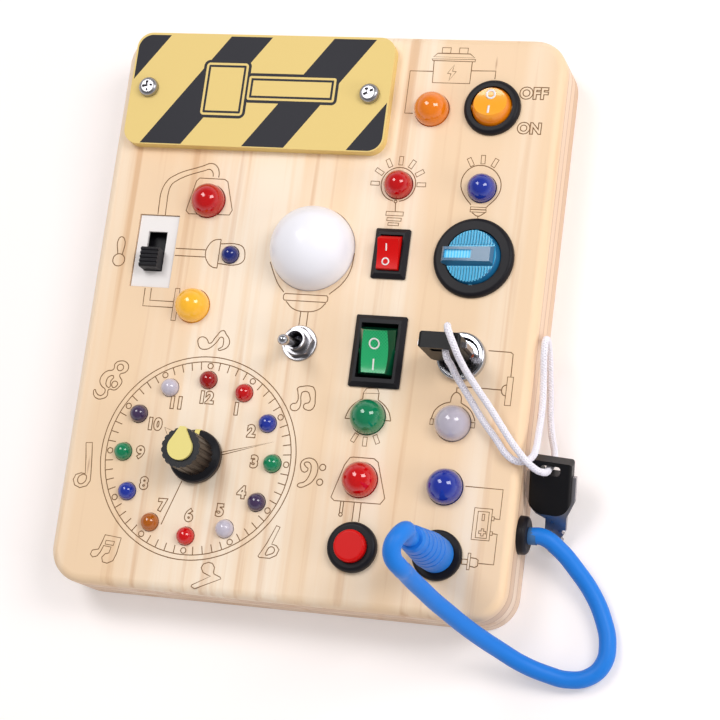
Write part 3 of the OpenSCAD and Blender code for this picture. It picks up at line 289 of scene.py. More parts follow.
def relief(tree, height, strength, distance):
    """A surface direction that follows a height."""
    node = tree.nodes.new("ShaderNodeBump")
    feed(tree, [node.inputs[label] for label in ("Height", "Strength", "Distance")],
         (height, strength, distance))
    return node.outputs["Normal"]


def mix_colour(tree, factor, a, b):
    node = tree.nodes.new("ShaderNodeMix")
    node.data_type = "RGBA"
    feed(tree, [node.inputs[index] for index in (0, 6, 7)], (factor, a, b))
    return node.outputs[2]


print("node helpers ready")

# %% [markdown]
# Places and masks come next: where a point lies on its piece, which way the surface looks there, and
# how a value is stretched between two limits.

# %% Places and masks
def own_place(tree):
    """The place of a surface point in the frame that all pieces share at rest."""
    return tree.nodes.new("ShaderNodeTexCoord").outputs["Object"]


def flat_place(tree):
    """The same place in millimetres, without its height."""
    return vector_math(tree, "MULTIPLY", own_place(tree), (1000, 1000, 0))


def spread_out(tree, source, low, high, top=1.0, bottom=0.0):
    """Stretch the part of a value between two limits to a bottom and a top value."""
    node = tree.nodes.new("ShaderNodeMapRange")
    set_values(node, {"From Min": low, "From Max": high, "To Min": bottom, "To Max": top})
    link(tree, source, node.inputs["Value"])
    return node.outputs["Result"]


def direction(tree, axis):
    """How far the surface looks along an axis, from -1 to 1."""
    return part_of(tree, tree.nodes.new("ShaderNodeNewGeometry").outputs["Normal"], axis)


def up_mask(tree, low, high):
    """0 on walls and 1 on surfaces that look up."""
    return spread_out(tree, direction(tree, "Z"), low, high)


def between(tree, value, low, high):
    """1 where a value lies between two limits, else 0."""
    above = calculate(tree, "GREATER_THAN", value, low)
    below = calculate(tree, "LESS_THAN", value, high)
    return times(tree, above, below)


print("masks ready")

# %% [markdown]
# Moulded plastic is never perfectly even: it has a fine grain from the mould and small changes of
# gloss. One node group makes both, and every plastic uses it with its own strength.

# %% Moulded surface group
def group_with(name, inputs, outputs):
    tree = bpy.data.node_groups.new(name, "ShaderNodeTree")
    for label, kind, value in inputs:
        socket = tree.interface.new_socket(label, in_out="INPUT", socket_type=kind)
        socket.default_value = value
    for label, kind in outputs:
        tree.interface.new_socket(label, in_out="OUTPUT", socket_type=kind)
    return tree, tree.nodes.new("NodeGroupInput"), tree.nodes.new("NodeGroupOutput")


moulded, moulded_in, moulded_out = group_with(
    "moulded_surface",
    [("Grain Scale", "NodeSocketFloat", 3000.0), ("Grain Height", "NodeSocketFloat", 1.0),
     ("Roughness", "NodeSocketFloat", 0.4), ("Spread", "NodeSocketFloat", 0.06)],
    [("Roughness", "NodeSocketFloat"), ("Normal", "NodeSocketVector")])
GRAIN_DEPTH = 0.00003
place = own_place(moulded)
grain = noise(moulded, place, moulded_in.outputs["Grain Scale"], 2)
bumps = relief(moulded, grain, moulded_in.outputs["Grain Height"], GRAIN_DEPTH)
gloss = calculate(moulded, "MULTIPLY_ADD", noise(moulded, place, 120, 2),
                  moulded_in.outputs["Spread"], moulded_in.outputs["Roughness"])
link(moulded, gloss, moulded_out.inputs["Roughness"])
link(moulded, bumps, moulded_out.inputs["Normal"])
print("group", moulded.name)

# %% [markdown]
# A material places a group and sets its inputs. Plastic reflects a little less than the shader's
# usual share, because the studio round it is white on all sides.

# %% Moulded materials
SOFT_SHINE = 0.3


def use_group(tree, group, **values):
    node = tree.nodes.new("ShaderNodeGroup")
    node.node_tree = group
    set_values(node, values)
    return node


def moulded_material(name, colour, roughness, grain=0.3, spread=0.06, grain_scale=3000.0, **values):
    values.setdefault("Specular_IOR_Level", SOFT_SHINE)
    material, tree, shader = new_material(name, colour, roughness, **values)
    skin = use_group(tree, moulded, Grain_Scale=grain_scale, Grain_Height=grain, Roughness=roughness,
                     Spread=spread)
    for label in ("Roughness", "Normal"):
        link(tree, skin.outputs[label], shader.inputs[label])
    return material, tree, shader


def plastic(name, colour, roughness, *names, **values):
    """A moulded material of one colour, given to the named nodes."""
    material = moulded_material(name, linear(*colour), roughness, **values)[0]
    finish_nodes(material, *names)
    return material


def colour_and_glow(tree, shader, tone):
    for label in ("Base Color", "Emission Color"):
        link(tree, tone, shader.inputs[label])


print("plastics reflect", SOFT_SHINE)

# %% [markdown]
# ## Pine
# Pine is pale, with long straight grain along the board, wide soft bands where the strips it is
# glued from meet, and a few thin darker lines of late wood. All of it is one solid pattern of noise,
# stretched along the grain, so that the long sides show streaks and the short sides show end grain.

# %% Pine helpers
def stretched_noise(tree, source, stretch, scale, detail):
    mapping = tree.nodes.new("ShaderNodeMapping")
    mapping.inputs["Scale"].default_value = stretch
    link(tree, source, mapping.inputs["Vector"])
    return noise(tree, mapping.outputs["Vector"], scale, detail)


CRACK_WIDTH = 0.4


def crack(tree, source, place, length):
    """A short dark split along the grain, soft at its ends."""
    near = vector_math(tree, "SUBTRACT", source, (place[0] * MM, place[1] * MM, FACE))
    squeezed = vector_math(tree, "MULTIPLY", near, (1000 / CRACK_WIDTH, 1000 / length, 1000))
    return spread_out(tree, vector_math(tree, "LENGTH", squeezed), 1.0, 0.2, 0.5)


print("pine helpers ready")

# %% [markdown]
# The grain group starts with the wood itself. Each kind of line is noise of its own scale, and the
# finest of them also gives the relief and the gloss.

# %% Pine grain group
pine, pine_in, pine_out = group_with(
    "pine_grain",
    [("Pale", "NodeSocketColor", linear(247, 226, 200)), ("Warm", "NodeSocketColor", linear(240, 208, 170)),
     ("Late Wood", "NodeSocketColor", linear(214, 166, 120)), ("Lines", "NodeSocketFloat", 0.5),
     ("Shift", "NodeSocketVector", (0, 0, 0))],
    [("Color", "NodeSocketColor"), ("Roughness", "NodeSocketFloat"), ("Height", "NodeSocketFloat")])
place = own_place(pine)
moved = vector_math(pine, "ADD", place, pine_in.outputs["Shift"])
bands = spread_out(pine, stretched_noise(pine, moved, (1, 0.05, 0.6), 48, 2), 0.42, 0.6)
streaks = spread_out(pine, stretched_noise(pine, moved, (1, 0.035, 1), 420, 4), 0.45, 0.72, 0.7)
late = spread_out(pine, stretched_noise(pine, moved, (1, 0.022, 0.5), 210, 5), 0.56, 0.68)
fibres = stretched_noise(pine, moved, (1, 0.02, 1), 2200, 3)
tone = mix_colour(pine, bands, pine_in.outputs["Pale"], pine_in.outputs["Warm"])
tone = mix_colour(pine, streaks, tone, pine_in.outputs["Warm"])
late = times(pine, late, pine_in.outputs["Lines"])
tone = mix_colour(pine, late, tone, pine_in.outputs["Late Wood"])
link(pine, spread_out(pine, fibres, -2.1, 2.9), pine_out.inputs["Roughness"])
link(pine, fibres, pine_out.inputs["Height"])
print("group", pine.name)

# %% [markdown]
# Two short splits mark the face. The layers of the board are glued at every five millimetres of
# height, and on the sides each joint shows as a thin darker line.

# %% Splits and glue lines
LAYER = 5
GLUE_HALF = 0.2
for spot, length in (((47.4, 77.2), 2.6), ((-60.4, -51), 3.4)):
    tone = mix_colour(pine, crack(pine, place, spot, length), tone, linear(150, 96, 64))
joint = calculate(pine, "PINGPONG", part_of(pine, place, "Z"), LAYER / 2 * MM)
joint = calculate(pine, "LESS_THAN", joint, GLUE_HALF * MM)
wall = calculate(pine, "LESS_THAN", calculate(pine, "ABSOLUTE", direction(pine, "Z")), 0.3)
joint = mix_colour(pine, times(pine, joint, wall, 0.8), tone, linear(176, 128, 104))
link(pine, joint, pine_out.inputs["Color"])
print("splits and glue lines in", pine.name)

# %% [markdown]
# Every layer is cut from another board, so each has its own shift into the pattern and its own tones.

# %% Four layers of pine
FIBRE_DEPTH = 0.00005


def pine_material(name, node, shift, pale, warm, lines):
    material, tree, shader = new_material(name, linear(*pale), 0.5)
    wood = use_group(tree, pine, Pale=linear(*pale), Warm=linear(*warm), Lines=lines, Shift=shift)
    link(tree, wood.outputs["Color"], shader.inputs["Base Color"])
    link(tree, wood.outputs["Roughness"], shader.inputs["Roughness"])
    link(tree, relief(tree, wood.outputs["Height"], 0.25, FIBRE_DEPTH), shader.inputs["Normal"])
    finish_nodes(material, node)


pine_material("pine_face", "front_panel", (0, 0, 0), (250, 230, 207), (242, 209, 172), 0.62)
pine_material("pine_middle", "upper_frame", (0.3, 0.1, 0.2), (242, 216, 192), (224, 190, 160), 0.5)
pine_material("pine_lower", "lower_frame", (0.7, 0.4, 0.1), (247, 224, 200), (232, 200, 170), 0.5)
pine_material("pine_back", "back_panel", (1.1, 0.2, 0.5), (240, 212, 186), (222, 188, 156), 0.5)
print("pine on four layers")

# %% [markdown]
# ## Translucent switch plastic
# The tinted rockers let light in and throw it back from inside, so they look brighter than paint of
# the same colour. A small share of painted glow in the same colour stands for that light. The walls
# below the top get a deeper tone of painted shade, because more plastic lies behind them, so a mask
# from the surface's own direction mixes the two tones.

# %% Tinted plastic
def tinted_material(name, top, wall, glow):
    material, tree, shader = moulded_material(name, linear(*top), 0.16, grain=0.1, Coat_Weight=0.6,
                                              Coat_Roughness=0.05, Emission_Strength=glow)
    # Painted shade: walls take the darker tone and tops the lighter one, and both glow faintly as painted
    # light.
    tone = mix_colour(tree, up_mask(tree, 0.45, 0.85), linear(*wall), linear(*top))
    colour_and_glow(tree, shader, tone)
    return material, tree, shader, tone


finish_nodes(tinted_material("amber_plastic", (240, 160, 40), (214, 116, 8), 0.16)[0], "amber_rocker")
plastic("red_plastic", (214, 8, 8), 0.34, "red_rocker", "button_cap", Specular_IOR_Level=0.2)
print("amber and red rockers")

# %% [markdown]
# The green rocker has a fine square grid moulded inside, which shows through its top. Two sine
# waves, one along each side of the switch, multiply into that grid.

# %% Green rocker with its grid
GRID = 0.9 * MM


def wave_along(tree, axis):
    """A wave from -1 to 1 along one axis of the object."""
    angle = times(tree, part_of(tree, own_place(tree), axis), 2 * math.pi / GRID)
    return calculate(tree, "SINE", angle)


green_plastic, tree, shader, tone = tinted_material("green_plastic", (8, 138, 80), (4, 58, 38), 0.12)
shader.inputs["Coat Weight"].default_value = 0.15
grid = times(tree, wave_along(tree, "X"), wave_along(tree, "Y"))
grid = times(tree, calculate(tree, "MULTIPLY_ADD", grid, 0.5, 0.3), up_mask(tree, 0.6, 0.9))
colour_and_glow(tree, shader, mix_colour(tree, grid, tone, linear(70, 196, 132)))
finish_nodes(green_plastic, "green_rocker")
print("grid on", green_plastic.name)

# %% [markdown]
# The big round rocker is clear blue. Its deck is bright cyan behind fine ribs, while the raised bar
# is thick and greyer, with one painted highlight: a bright band that stands for a softbox reflection.
# The bar and the highlight are found by their height over the deck, measured along the rocker's own
# tilted direction, so the masks follow the part and not the table.

# %% Blue rocker
ROUND_AT = Vector((47.9, 18, 20.3)) * MM
TILT = math.radians(9)
BAR_RISE = 2.85 * MM
BAR_HALF = 3.4 * MM
HIGHLIGHT_RUN = (-7.4 * MM, 1.1 * MM)
HIGHLIGHT_HALF = 1.3 * MM
HIGHLIGHT_RISE = (3.9 * MM, 4.4 * MM)


def along(tree, way):
    """Distance from the round rocker's middle, measured along a direction."""
    return vector_math(tree, "DOT_PRODUCT", vector_math(tree, "SUBTRACT", own_place(tree), ROUND_AT), way)


blue_translucent, tree, shader, tone = tinted_material("blue_translucent", (48, 164, 210), (26, 98, 142),
                                                       0.16)
rise = along(tree, (-math.sin(TILT), 0, math.cos(TILT)))
run = along(tree, (math.cos(TILT), 0, math.sin(TILT)))
side = along(tree, (0, 1, 0))
bar = times(tree, calculate(tree, "GREATER_THAN", rise, BAR_RISE),
            between(tree, side, -BAR_HALF, BAR_HALF))
# Painted highlight: a bright band along the top of the bar, in place of a softbox reflection.
painted_highlight = times(tree, between(tree, run, *HIGHLIGHT_RUN),
               between(tree, side, -HIGHLIGHT_HALF, HIGHLIGHT_HALF), between(tree, rise, *HIGHLIGHT_RISE))
rib = calculate(tree, "MULTIPLY_ADD", wave_along(tree, "X"), 0.25, 0.25)
rib = times(tree, rib, up_mask(tree, 0.6, 0.9))
tone = mix_colour(tree, rib, tone, linear(150, 230, 250))
tone = mix_colour(tree, bar, tone, linear(44, 94, 128))
highlight_tone = mix_colour(tree, rib, linear(60, 190, 240), linear(180, 240, 255))
colour_and_glow(tree, shader, mix_colour(tree, painted_highlight, tone, highlight_tone))
finish_nodes(blue_translucent, "round_rocker")
print("bar and window on", blue_translucent.name)

# %% [markdown]
# ## Opaque plastics, rubber and cord
# The switch frames are black with a fine matt grain. The keys' covers are smoother, and the knob's
# ribbed walls carry a painted brown sheen, a painted highlight, while its top stays dark. White,
# yellow and blue parts use the same moulded surface with other colours and gloss, and the white
# dome has a faint painted glow.

# %% Opaque plastics
plastic("black_plastic", (26, 24, 29), 0.4, "amber_switch_housing", "red_switch_housing",
        "green_switch_housing", "round_switch_housing", "slide_switch_body", "slider", "button_body",
        "socket", "grommet", "battery_box", "battery_door", Specular_IOR_Level=0.22)
plastic("key_black", (20, 19, 21), 0.34, "key_head", "loose_key_head", Specular_IOR_Level=0.2)
plastic("white_plastic", (236, 230, 228), 0.3, "slide_plate", "dome_lamp", "board_spacers")
# The white dome glows faintly in its own colour: painted light that keeps it an even white.
plastic("dome_white", (238, 236, 243), 0.3, "white_dome", grain=0.05, Coat_Weight=0.4,
        Emission_Color=(1, 0.98, 1, 1), Emission_Strength=0.07)
plastic("yellow_plastic", (234, 218, 132), 0.45, "knob_pointer")
plastic("circuit_green", (30, 90, 50), 0.4, "circuit_boards")
plastic("cell_wrap", (90, 95, 105), 0.3, "battery_cells")
cable_sleeve.data.materials.append(plastic("blue_rubber", (26, 122, 218), 0.42, "plug_body"))
string_braid.data.materials.append(plastic("white_cord", (240, 236, 244), 0.8, grain=0.8,
                                           grain_scale=5000.0))
knob_black, tree, shader = moulded_material("knob_black", linear(30, 28, 32), 0.28)
# Painted sheen: walls facing sideways take a brown highlight tone, and the top keeps the dark one.
painted_sheen = mix_colour(tree, up_mask(tree, 0.1, 0.5), linear(44, 34, 28), linear(24, 24, 29))
link(tree, painted_sheen, shader.inputs["Base Color"])
finish_nodes(knob_black, "knob")
print("plastics", len(bpy.data.materials))

# %% [markdown]
# ## Metals
# Chrome is nearly a mirror. Its only detail is a faint ripple from polishing, and a little haze that
# changes over the surface. The toggle's body and the sign's screws are duller nickel, and the keys
# and the screws of the back are plainer steel, with finer marks.

# %% Metals
RIPPLE_DEPTH = 0.00005


def metal(name, colour, roughness, ripple, scale, *names):
    material, tree, shader = new_material(name, linear(*colour), roughness, Metallic=1.0)
    cloud = noise(tree, own_place(tree), scale, 3)
    haze = spread_out(tree, cloud, 0, 1, roughness * 1.4, roughness * 0.7)
    link(tree, haze, shader.inputs["Roughness"])
    link(tree, relief(tree, cloud, ripple, RIPPLE_DEPTH), shader.inputs["Normal"])
    finish_nodes(material, *names)


metal("chrome", (186, 186, 192), 0.16, 0.12, 500, "lock_body", "toggle_lever", "panel_nuts")
metal("nickel", (172, 170, 174), 0.3, 0.12, 500, "toggle_body", "toggle_nut", "sign_screws")
metal("core_steel", (130, 128, 132), 0.22, 0.2, 700, "lock_core")
metal("steel", (168, 164, 168), 0.3, 0.15, 900, "key_blank", "loose_key_blank", "back_screws",
      "rotary_shaft", "rotary_switch", "button_spring", "door_screw", "battery_contacts")
metal("brass", (214, 180, 110), 0.3, 0.15, 900, "plug_pin", "switch_terminals")
print("metals done")

# %% [markdown]
# ## Lenses
# A lamp's lens is a solid dome of tinted plastic. Seen straight on it is bright, and towards its rim
# the light crosses more of the plastic and the colour deepens. Layer Weight gives that change. A
# clear coat carries the reflections of the two softboxes. A slow noise makes one lamp a little
# darker than the next, and three come from a clearly darker batch.

# %% Lens material
LAMP_REACH = 5
DARKER = {"blue_lamps": (-26, 15.3), "red_lamps": (-27, -22.9), "amber_lamps": (-38.6, -66)}


def darkened(colour, share):
    return tuple(channel * share for channel in colour[:3]) + (1,)


def lens_material(name, deep, rim, glow, dark_one=None):
    material, tree, shader = moulded_material(name, deep, 0.1, grain=0.02, spread=0.02, Coat_Weight=1.0,
                                              Coat_Roughness=0.03, Emission_Strength=glow)
    edge = tree.nodes.new("ShaderNodeLayerWeight")
    edge.inputs["Blend"].default_value = 0.5
    soft = calculate(tree, "POWER", edge.outputs["Facing"], 3.0)
    batch = spread_out(tree, stretched_noise(tree, own_place(tree), (1, 1, 0), 22, 0), 0.42, 0.6, 0.3)
    tone = mix_colour(tree, soft, mix_colour(tree, batch, deep, darkened(deep, 0.45)), rim)
    if dark_one:
        apart = vector_math(tree, "DISTANCE", flat_place(tree), (*dark_one, 0))
        share = times(tree, calculate(tree, "LESS_THAN", apart, LAMP_REACH), 0.6)
        tone = mix_colour(tree, share, tone, darkened(deep, 0.25))
    colour_and_glow(tree, shader, tone)
    return material


print("one darker lamp each in", list(DARKER))

# %% [markdown]
# Each colour of lamp has the tone of its middle, the tone of its rim, and its glow.

# %% Lenses
LENSES = {
    "red_lamps": ((200, 2, 8), (140, 8, 12), 0.10),
    "blue_lamps": ((30, 50, 156), (40, 44, 112), 0.10),
    "green_lamps": ((12, 128, 84), (20, 104, 72), 0.08),
    "clear_lamps": ((196, 188, 202), (208, 198, 206), 0.05),
    "amber_lamps": ((224, 118, 16), (206, 112, 36), 0.12),
    "yellow_lamp": ((250, 184, 48), (240, 178, 74), 0.15),
    "purple_lamps": ((68, 50, 84), (64, 44, 62), 0.05),
}
for lens, (deep, rim, glow) in LENSES.items():
    finish_nodes(lens_material(lens.rsplit("_", 1)[0] + "_lens", linear(*deep), linear(*rim), glow,
                               DARKER.get(lens)), lens)
print("lenses", len(LENSES))

# %% [markdown]
# ## The striped sign
# The sign is a yellow plate with slanting dark stripes and a framed field, left bare, in the middle.
# The print stops just short of the edge and has round corners. All of it is arithmetic on the place
# in millimetres: one number counts the stripes, and rounded boxes give the edges.

# %% Sign helpers
def box_distance(tree, point, centre, half, radius):
    """Distance from the edge of a box with round corners, negative inside."""
    apart = vector_math(tree, "ABSOLUTE", vector_math(tree, "SUBTRACT", point, (*centre, 0)))
    beyond = vector_math(tree, "SUBTRACT", apart, (half[0] - radius, half[1] - radius, 0))
    outside = vector_math(tree, "LENGTH", vector_math(tree, "MAXIMUM", beyond, (0, 0, 0)))
    longest = calculate(tree, "MAXIMUM", part_of(tree, beyond, "X"), part_of(tree, beyond, "Y"))
    inside = calculate(tree, "MINIMUM", longest, 0)
    return calculate(tree, "SUBTRACT", calculate(tree, "ADD", outside, inside), radius)


print("sign helpers ready")

# %% [markdown]
# A stripe starts at every whole count, and the dark part of it is about two fifths wide. Inside the
# badge the stripes end, and its frame is one dark line, one yellow one and a second dark one.

# %% Sign pattern
YELLOW = linear(232, 203, 128)
STRIPE_STEP = 32.6
STRIPE_SLANT = 0.707
STRIPE_START = (-46.6, 65.4)
DARK_SHARE = 0.405
PRINTED = ((-23.6, 65.2), (40.5, 17.3), 4.4)
BADGE_HEAD = ((-34.3, 65.7), (7.6, 9.2), 2)
BADGE_BAR = ((-13.2, 66.3), (14.6, 4.7), 1.6)
sign_paint, tree, shader = new_material("sign_paint", YELLOW, 0.5, Specular_IOR_Level=0.15)
point = flat_place(tree)
count = vector_math(tree, "DOT_PRODUCT", point, (1 / STRIPE_STEP, -STRIPE_SLANT / STRIPE_STEP, 0))
step = calculate(tree, "ADD", count, (-STRIPE_START[0] + STRIPE_SLANT * STRIPE_START[1]) / STRIPE_STEP)
dark = calculate(tree, "LESS_THAN", calculate(tree, "FRACT", step), DARK_SHARE)
printed = calculate(tree, "LESS_THAN", box_distance(tree, point, *PRINTED), 0)
badge = calculate(tree, "MINIMUM", box_distance(tree, point, *BADGE_HEAD),
                  box_distance(tree, point, *BADGE_BAR))
for edge, value in ((0, 1), (-0.9, 0), (-1.6, 1), (-2.3, 0)):
    within = calculate(tree, "LESS_THAN", badge, edge)
    keep = calculate(tree, "SUBTRACT", 1, within)
    dark = calculate(tree, "MULTIPLY_ADD", dark, keep, times(tree, within, value))
dark = times(tree, dark, printed, up_mask(tree, 0.9, 0.95))
link(tree, mix_colour(tree, dark, YELLOW, linear(30, 29, 38)), shader.inputs["Base Color"])
link(tree, calculate(tree, "MULTIPLY_ADD", dark, -0.08, 0.45), shader.inputs["Roughness"])
finish_nodes(sign_paint, "sign_plate")
print("sign", len(tree.nodes), "nodes")

# %% [markdown]
# ## Burnt drawings
# A laser has burnt thin brown lines into the face: little circuits, lamps and music signs. Each
# drawing is one curve object with a thin round section, made a mesh and pressed flat against the
# face, so that it is a line of about a third of a millimetre with almost no height. A stroke is a
# straight line, a closed loop of straight lines, an open bend or a closed ring.

# %% Strokes
def line(*points):
    return "line", points


def loop(*points):
    return "loop", points


def bend(*points):
    return "bend", points


def ring(*points):
    return "ring", points


def circle(centre, radius, steps=12):
    turns = [2 * math.pi * i / steps for i in range(steps)]
    return ring(*[(centre[0] + radius * math.cos(a), centre[1] + radius * math.sin(a)) for a in turns])


def box(left, right, low, high):
    return loop((left, low), (right, low), (right, high), (left, high))


def ray_box(centre, hub, length=2.6, width=1.2):
    """A small box whose long side points away from a hub."""
    out = Vector((centre[0] - hub[0], centre[1] - hub[1])).normalized()
    across = Vector((-out.y, out.x))
    signs = ((1, 1), (1, -1), (-1, -1), (-1, 1))
    corners = [Vector(centre) + out * s * length / 2 + across * t * width / 2 for s, t in signs]
    return loop(*[tuple(corner) for corner in corners])


print("a circle has", len(circle((0, 0), 1)[1]), "points")

# %% [markdown]
# `draw` turns the strokes of one drawing into a piece, and `burn_in` lays it on the board.

# %% Draw on the face
LINE = 0.3
PRESSED = 0.15
burnt = moulded_material("burnt_line", linear(142, 106, 72), 0.8, grain=0.2)[0]


def add_strokes(data, strokes, height):
    for kind, points in strokes:
        add_spline(data, [(x * MM, y * MM, height) for x, y in points], kind in ("bend", "ring"),
                   kind in ("loop", "ring"))


def burn_in(piece):
    """Squeeze a piece towards the face, so that it lies on it like ink."""
    for vertex in piece.data.vertices:
        vertex.co.z = FACE + (vertex.co.z - FACE) * PRESSED
    piece.data.materials.append(burnt)
    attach(piece, "board")


def draw(name, *strokes):
    data = tube_data(name, LINE / 2 * MM, 0, 5)
    add_strokes(data, strokes, FACE)
    burn_in(as_mesh(add_object(name, data), name))


print("line width", LINE, "mm")

# %% [markdown]
# The battery at the top feeds the first lamp and the round switch. The two small lamps below it
# have a bulb each, with short rays around.

# %% Battery and bulbs
draw("battery_drawing", box(30.6, 33.2, 80.2, 81.9), box(35.8, 38.4, 80.1, 81.9),
     loop((28.2, 79), (29.4, 80.1), (39.2, 80.1), (40.7, 78.9)),
     loop((27.8, 78.3), (41, 78.4), (40.9, 77.7), (28.1, 77.8)),
     line((28.5, 77.8), (28.8, 70.9), (40.1, 70.9), (40.1, 77.6)),
     loop((34.8, 76.6), (33, 73.9), (34.1, 73.8), (33.7, 71.6), (35.6, 74.5), (34.5, 74.6)),
     line((28.6, 74.4), (21.6, 74.4), (21.6, 61.2), (24.1, 61.2)),
     line((40.2, 74.9), (47.5, 75), (47.5, 72.5)))
opening = [(22.55 + 5.2 * math.sin(a), 39.2 - 5.2 * math.cos(a))
           for a in [math.radians(10 + 340 * i / 16) for i in range(17)]]
draw("red_bulb_drawing", bend(*opening), circle((22.4, 34), 0.4, 6), line((22.5, 33.5), (22.7, 31)),
     box(20, 25.2, 29.7, 30.9), box(20.5, 24.8, 28.1, 29), box(21, 24.2, 26.7, 27.5),
     *[ray_box(centre, (22.5, 39.2)) for centre in
       ((15.5, 39.3), (16.4, 42.9), (19, 45.6), (22.5, 46.5), (26, 45.5), (28.6, 42.9), (29.5, 39.4))])
draw("blue_bulb_drawing",
     bend((45, 34), (42.4, 37.1), (41.3, 40), (41.9, 43.1), (43.9, 45.3), (46.5, 46), (49.5, 45.3),
          (52.1, 43.1), (53.2, 40.1), (52.6, 37.1), (49.7, 33.5)), box(45, 49.6, 32.7, 33.4),
     box(45, 49.7, 31.9, 32.6), bend((45.6, 31.7), (47.5, 30.7), (49.4, 31.8)),
     line((47.5, 30.6), (47.5, 29.6)),
     *[ray_box(centre, (47.3, 40)) for centre in ((43.4, 46.9), (47, 47.8), (50.6, 46.9))])

# %% [markdown]
# To the left a table lamp hangs on a bent pipe over the slide switch, whose two wires end in a
# socket. The big dome has the foot of a bulb.

# %% Slide switch and dome drawings
draw("left_lamp_drawing",
     loop((-40.2, 37.6), (-39.3, 38.6), (-31.3, 38.5), (-30.2, 37.8), (-27.5, 29), (-28.2, 27.5),
          (-41.1, 27.3), (-42.1, 28.3)),
     bend((-33.3, 39), (-33.4, 40.6), (-34.4, 42.5), (-36.2, 43.3), (-38.8, 42.4), (-48.2, 38.6),
          (-49.8, 36.9), (-50.9, 33.9), (-51, 30.1), (-50.9, 26.7)),
     bend((-35.1, 39.2), (-35.4, 40.5), (-36.4, 41.4), (-38, 41), (-47.3, 36.9), (-48.3, 35.4),
          (-48.6, 33.7), (-48.6, 30.2), (-48.5, 26.5)))
draw("socket_drawing", line((-43.5, 16.4), (-33.9, 16.4)), line((-43.5, 14.2), (-33.9, 14.2)),
     bend((-29.6, 19.9), (-31.7, 19.5), (-33.3, 17.8), (-33.9, 15.3), (-33.1, 13), (-31.2, 11.3),
          (-29.5, 11)), line((-29.6, 11), (-29.6, 19.9)),
     bend((-29.6, 18.5), (-24.2, 18.6), (-22.4, 17.8), (-21.5, 15.7), (-21.7, 13.6), (-23.5, 12.4),
          (-29.5, 12.4)))
draw("lever_drawing", line((-51.3, 3.7), (-51.2, -1.8), (-41.7, -1.8)),
     line((-49.3, 3.7), (-49.2, 0), (-41.6, 0)), box(-41.6, -40.2, -5.7, 4.1),
     circle((-61.2, 11.9), 1.9, 8),
     bend((-61.8, 13.7), (-62.3, 18.2), (-61.5, 19.1), (-60.4, 18.5), (-60.3, 13.4)))
draw("dome_drawing", bend((-13.3, 13.8), (-11.6, 10.2), (-9.8, 7.1), (-7.8, 4.9)),
     bend((12.1, 17.7), (11.6, 12.5), (9.8, 8.7), (6.1, 5)),
     loop((-7.7, 3), (-7.3, 2.5), (5.5, 2.5), (5.9, 3), (5.9, 4), (5.5, 4.5), (-7.3, 4.5), (-7.7, 4)),
     bend((-6.7, 2.2), (-4.3, 0.1), (-0.2, -0.6), (3.6, 0.3), (5.5, 2.3)),
     line((-1.75, -0.5), (-1.75, -4.9)), line((0.5, -0.5), (0.5, -4.9)))
print("left drawings done")

# %% [markdown]
# On the right the lock turns a small horn on, the clear and green lamps hang from the ceiling, the
# push button feeds a bedside lamp, and the plug ends in a battery cell.

# %% Lamps, horn and cell drawings
draw("green_lamp_drawing", loop((20.3, -23.5), (21.2, -22), (24.3, -21.7), (25.1, -23.3)),
     line((20.4, -23.5), (20.4, -25.1)), line((25, -23.3), (25, -25.1)),
     bend((20.4, -25.1), (17.9, -27), (16.6, -29), (15.9, -31.2)),
     bend((25, -25.1), (27.2, -26.7), (28.7, -28.6), (29.5, -31)), line((15.9, -31.2), (17.5, -31.2)),
     line((27.9, -31), (29.5, -31)),
     *[ray_box(centre, (22.7, -30)) for centre in ((19.5, -36.6), (22.7, -37.5), (26, -36.6))])
draw("clear_lamp_drawing", line((47.6, -19.9), (47.6, -21.3)),
     bend((46.2, -24.3), (46.5, -22.4), (47.6, -21.4), (49, -22.3), (49.3, -24.3)),
     bend((46.2, -24.3), (44.3, -24.9), (42.1, -26.8), (41.2, -29.5)),
     bend((49.3, -24.3), (52, -26), (53.6, -28.4), (53.9, -29.3)), box(41, 41.9, -31.1, -29.5),
     box(52.5, 54, -31.2, -29.7))
draw("horn_drawing", line((55.4, -8.7), (61.9, -8.8), (62.6, -9.3), (62.7, -15.8)),
     box(61.8, 63.5, -24.1, -15.9),
     bend((61.7, -18.2), (60.8, -18.8), (60.5, -19.9), (60.9, -21), (61.7, -21.4)),
     line((60.4, -19.8), (50.2, -19.6), (47.8, -20.1)))
draw("bedside_lamp_drawing",
     loop((17.6, -44.7), (19, -42.4), (20, -42.2), (26.1, -42.2), (27.4, -43.1), (30.7, -53.3),
          (29.6, -55), (16, -55.1), (14.9, -54.2)), line((18, -55.2), (18, -58.4)),
     line((18.85, -55.2), (18.85, -58.4)), circle((18.4, -58.9), 0.5, 6), line((22, -55), (22, -60.6)),
     line((24, -55), (24, -60.6)))
CROSS = [(0.35, 0.35), (0.35, 1), (-0.35, 1), (-0.35, 0.35), (-1, 0.35), (-1, -0.35), (-0.35, -0.35),
         (-0.35, -1), (0.35, -1), (0.35, -0.35), (1, -0.35), (1, 0.35)]
draw("cell_drawing", line((53.5, -47.9), (64.3, -48), (64.3, -56.4), (62.7, -56.3)),
     box(56.9, 62, -62.6, -53.7), box(58, 61.15, -62, -54.6), box(59.3, 59.95, -57.1, -55.3),
     loop(*[(59.8 + x, -60.4 + y) for x, y in CROSS]), box(62, 62.7, -56.9, -55.8),
     box(62, 62.7, -61, -60), line((62.7, -60.5), (64.1, -60.6), (64.1, -69.1), (59.8, -69.1)),
     line((56.6, -68.3), (55, -68.3), (55, -69.7), (56.6, -69.7)), box(56.6, 57.35, -71.1, -66.5),
     line((57.35, -67.7), (58.9, -67.8), (59.6, -68.2), (59.6, -69.8), (58.9, -70.3), (57.35, -70.1)))
print("right drawings done")

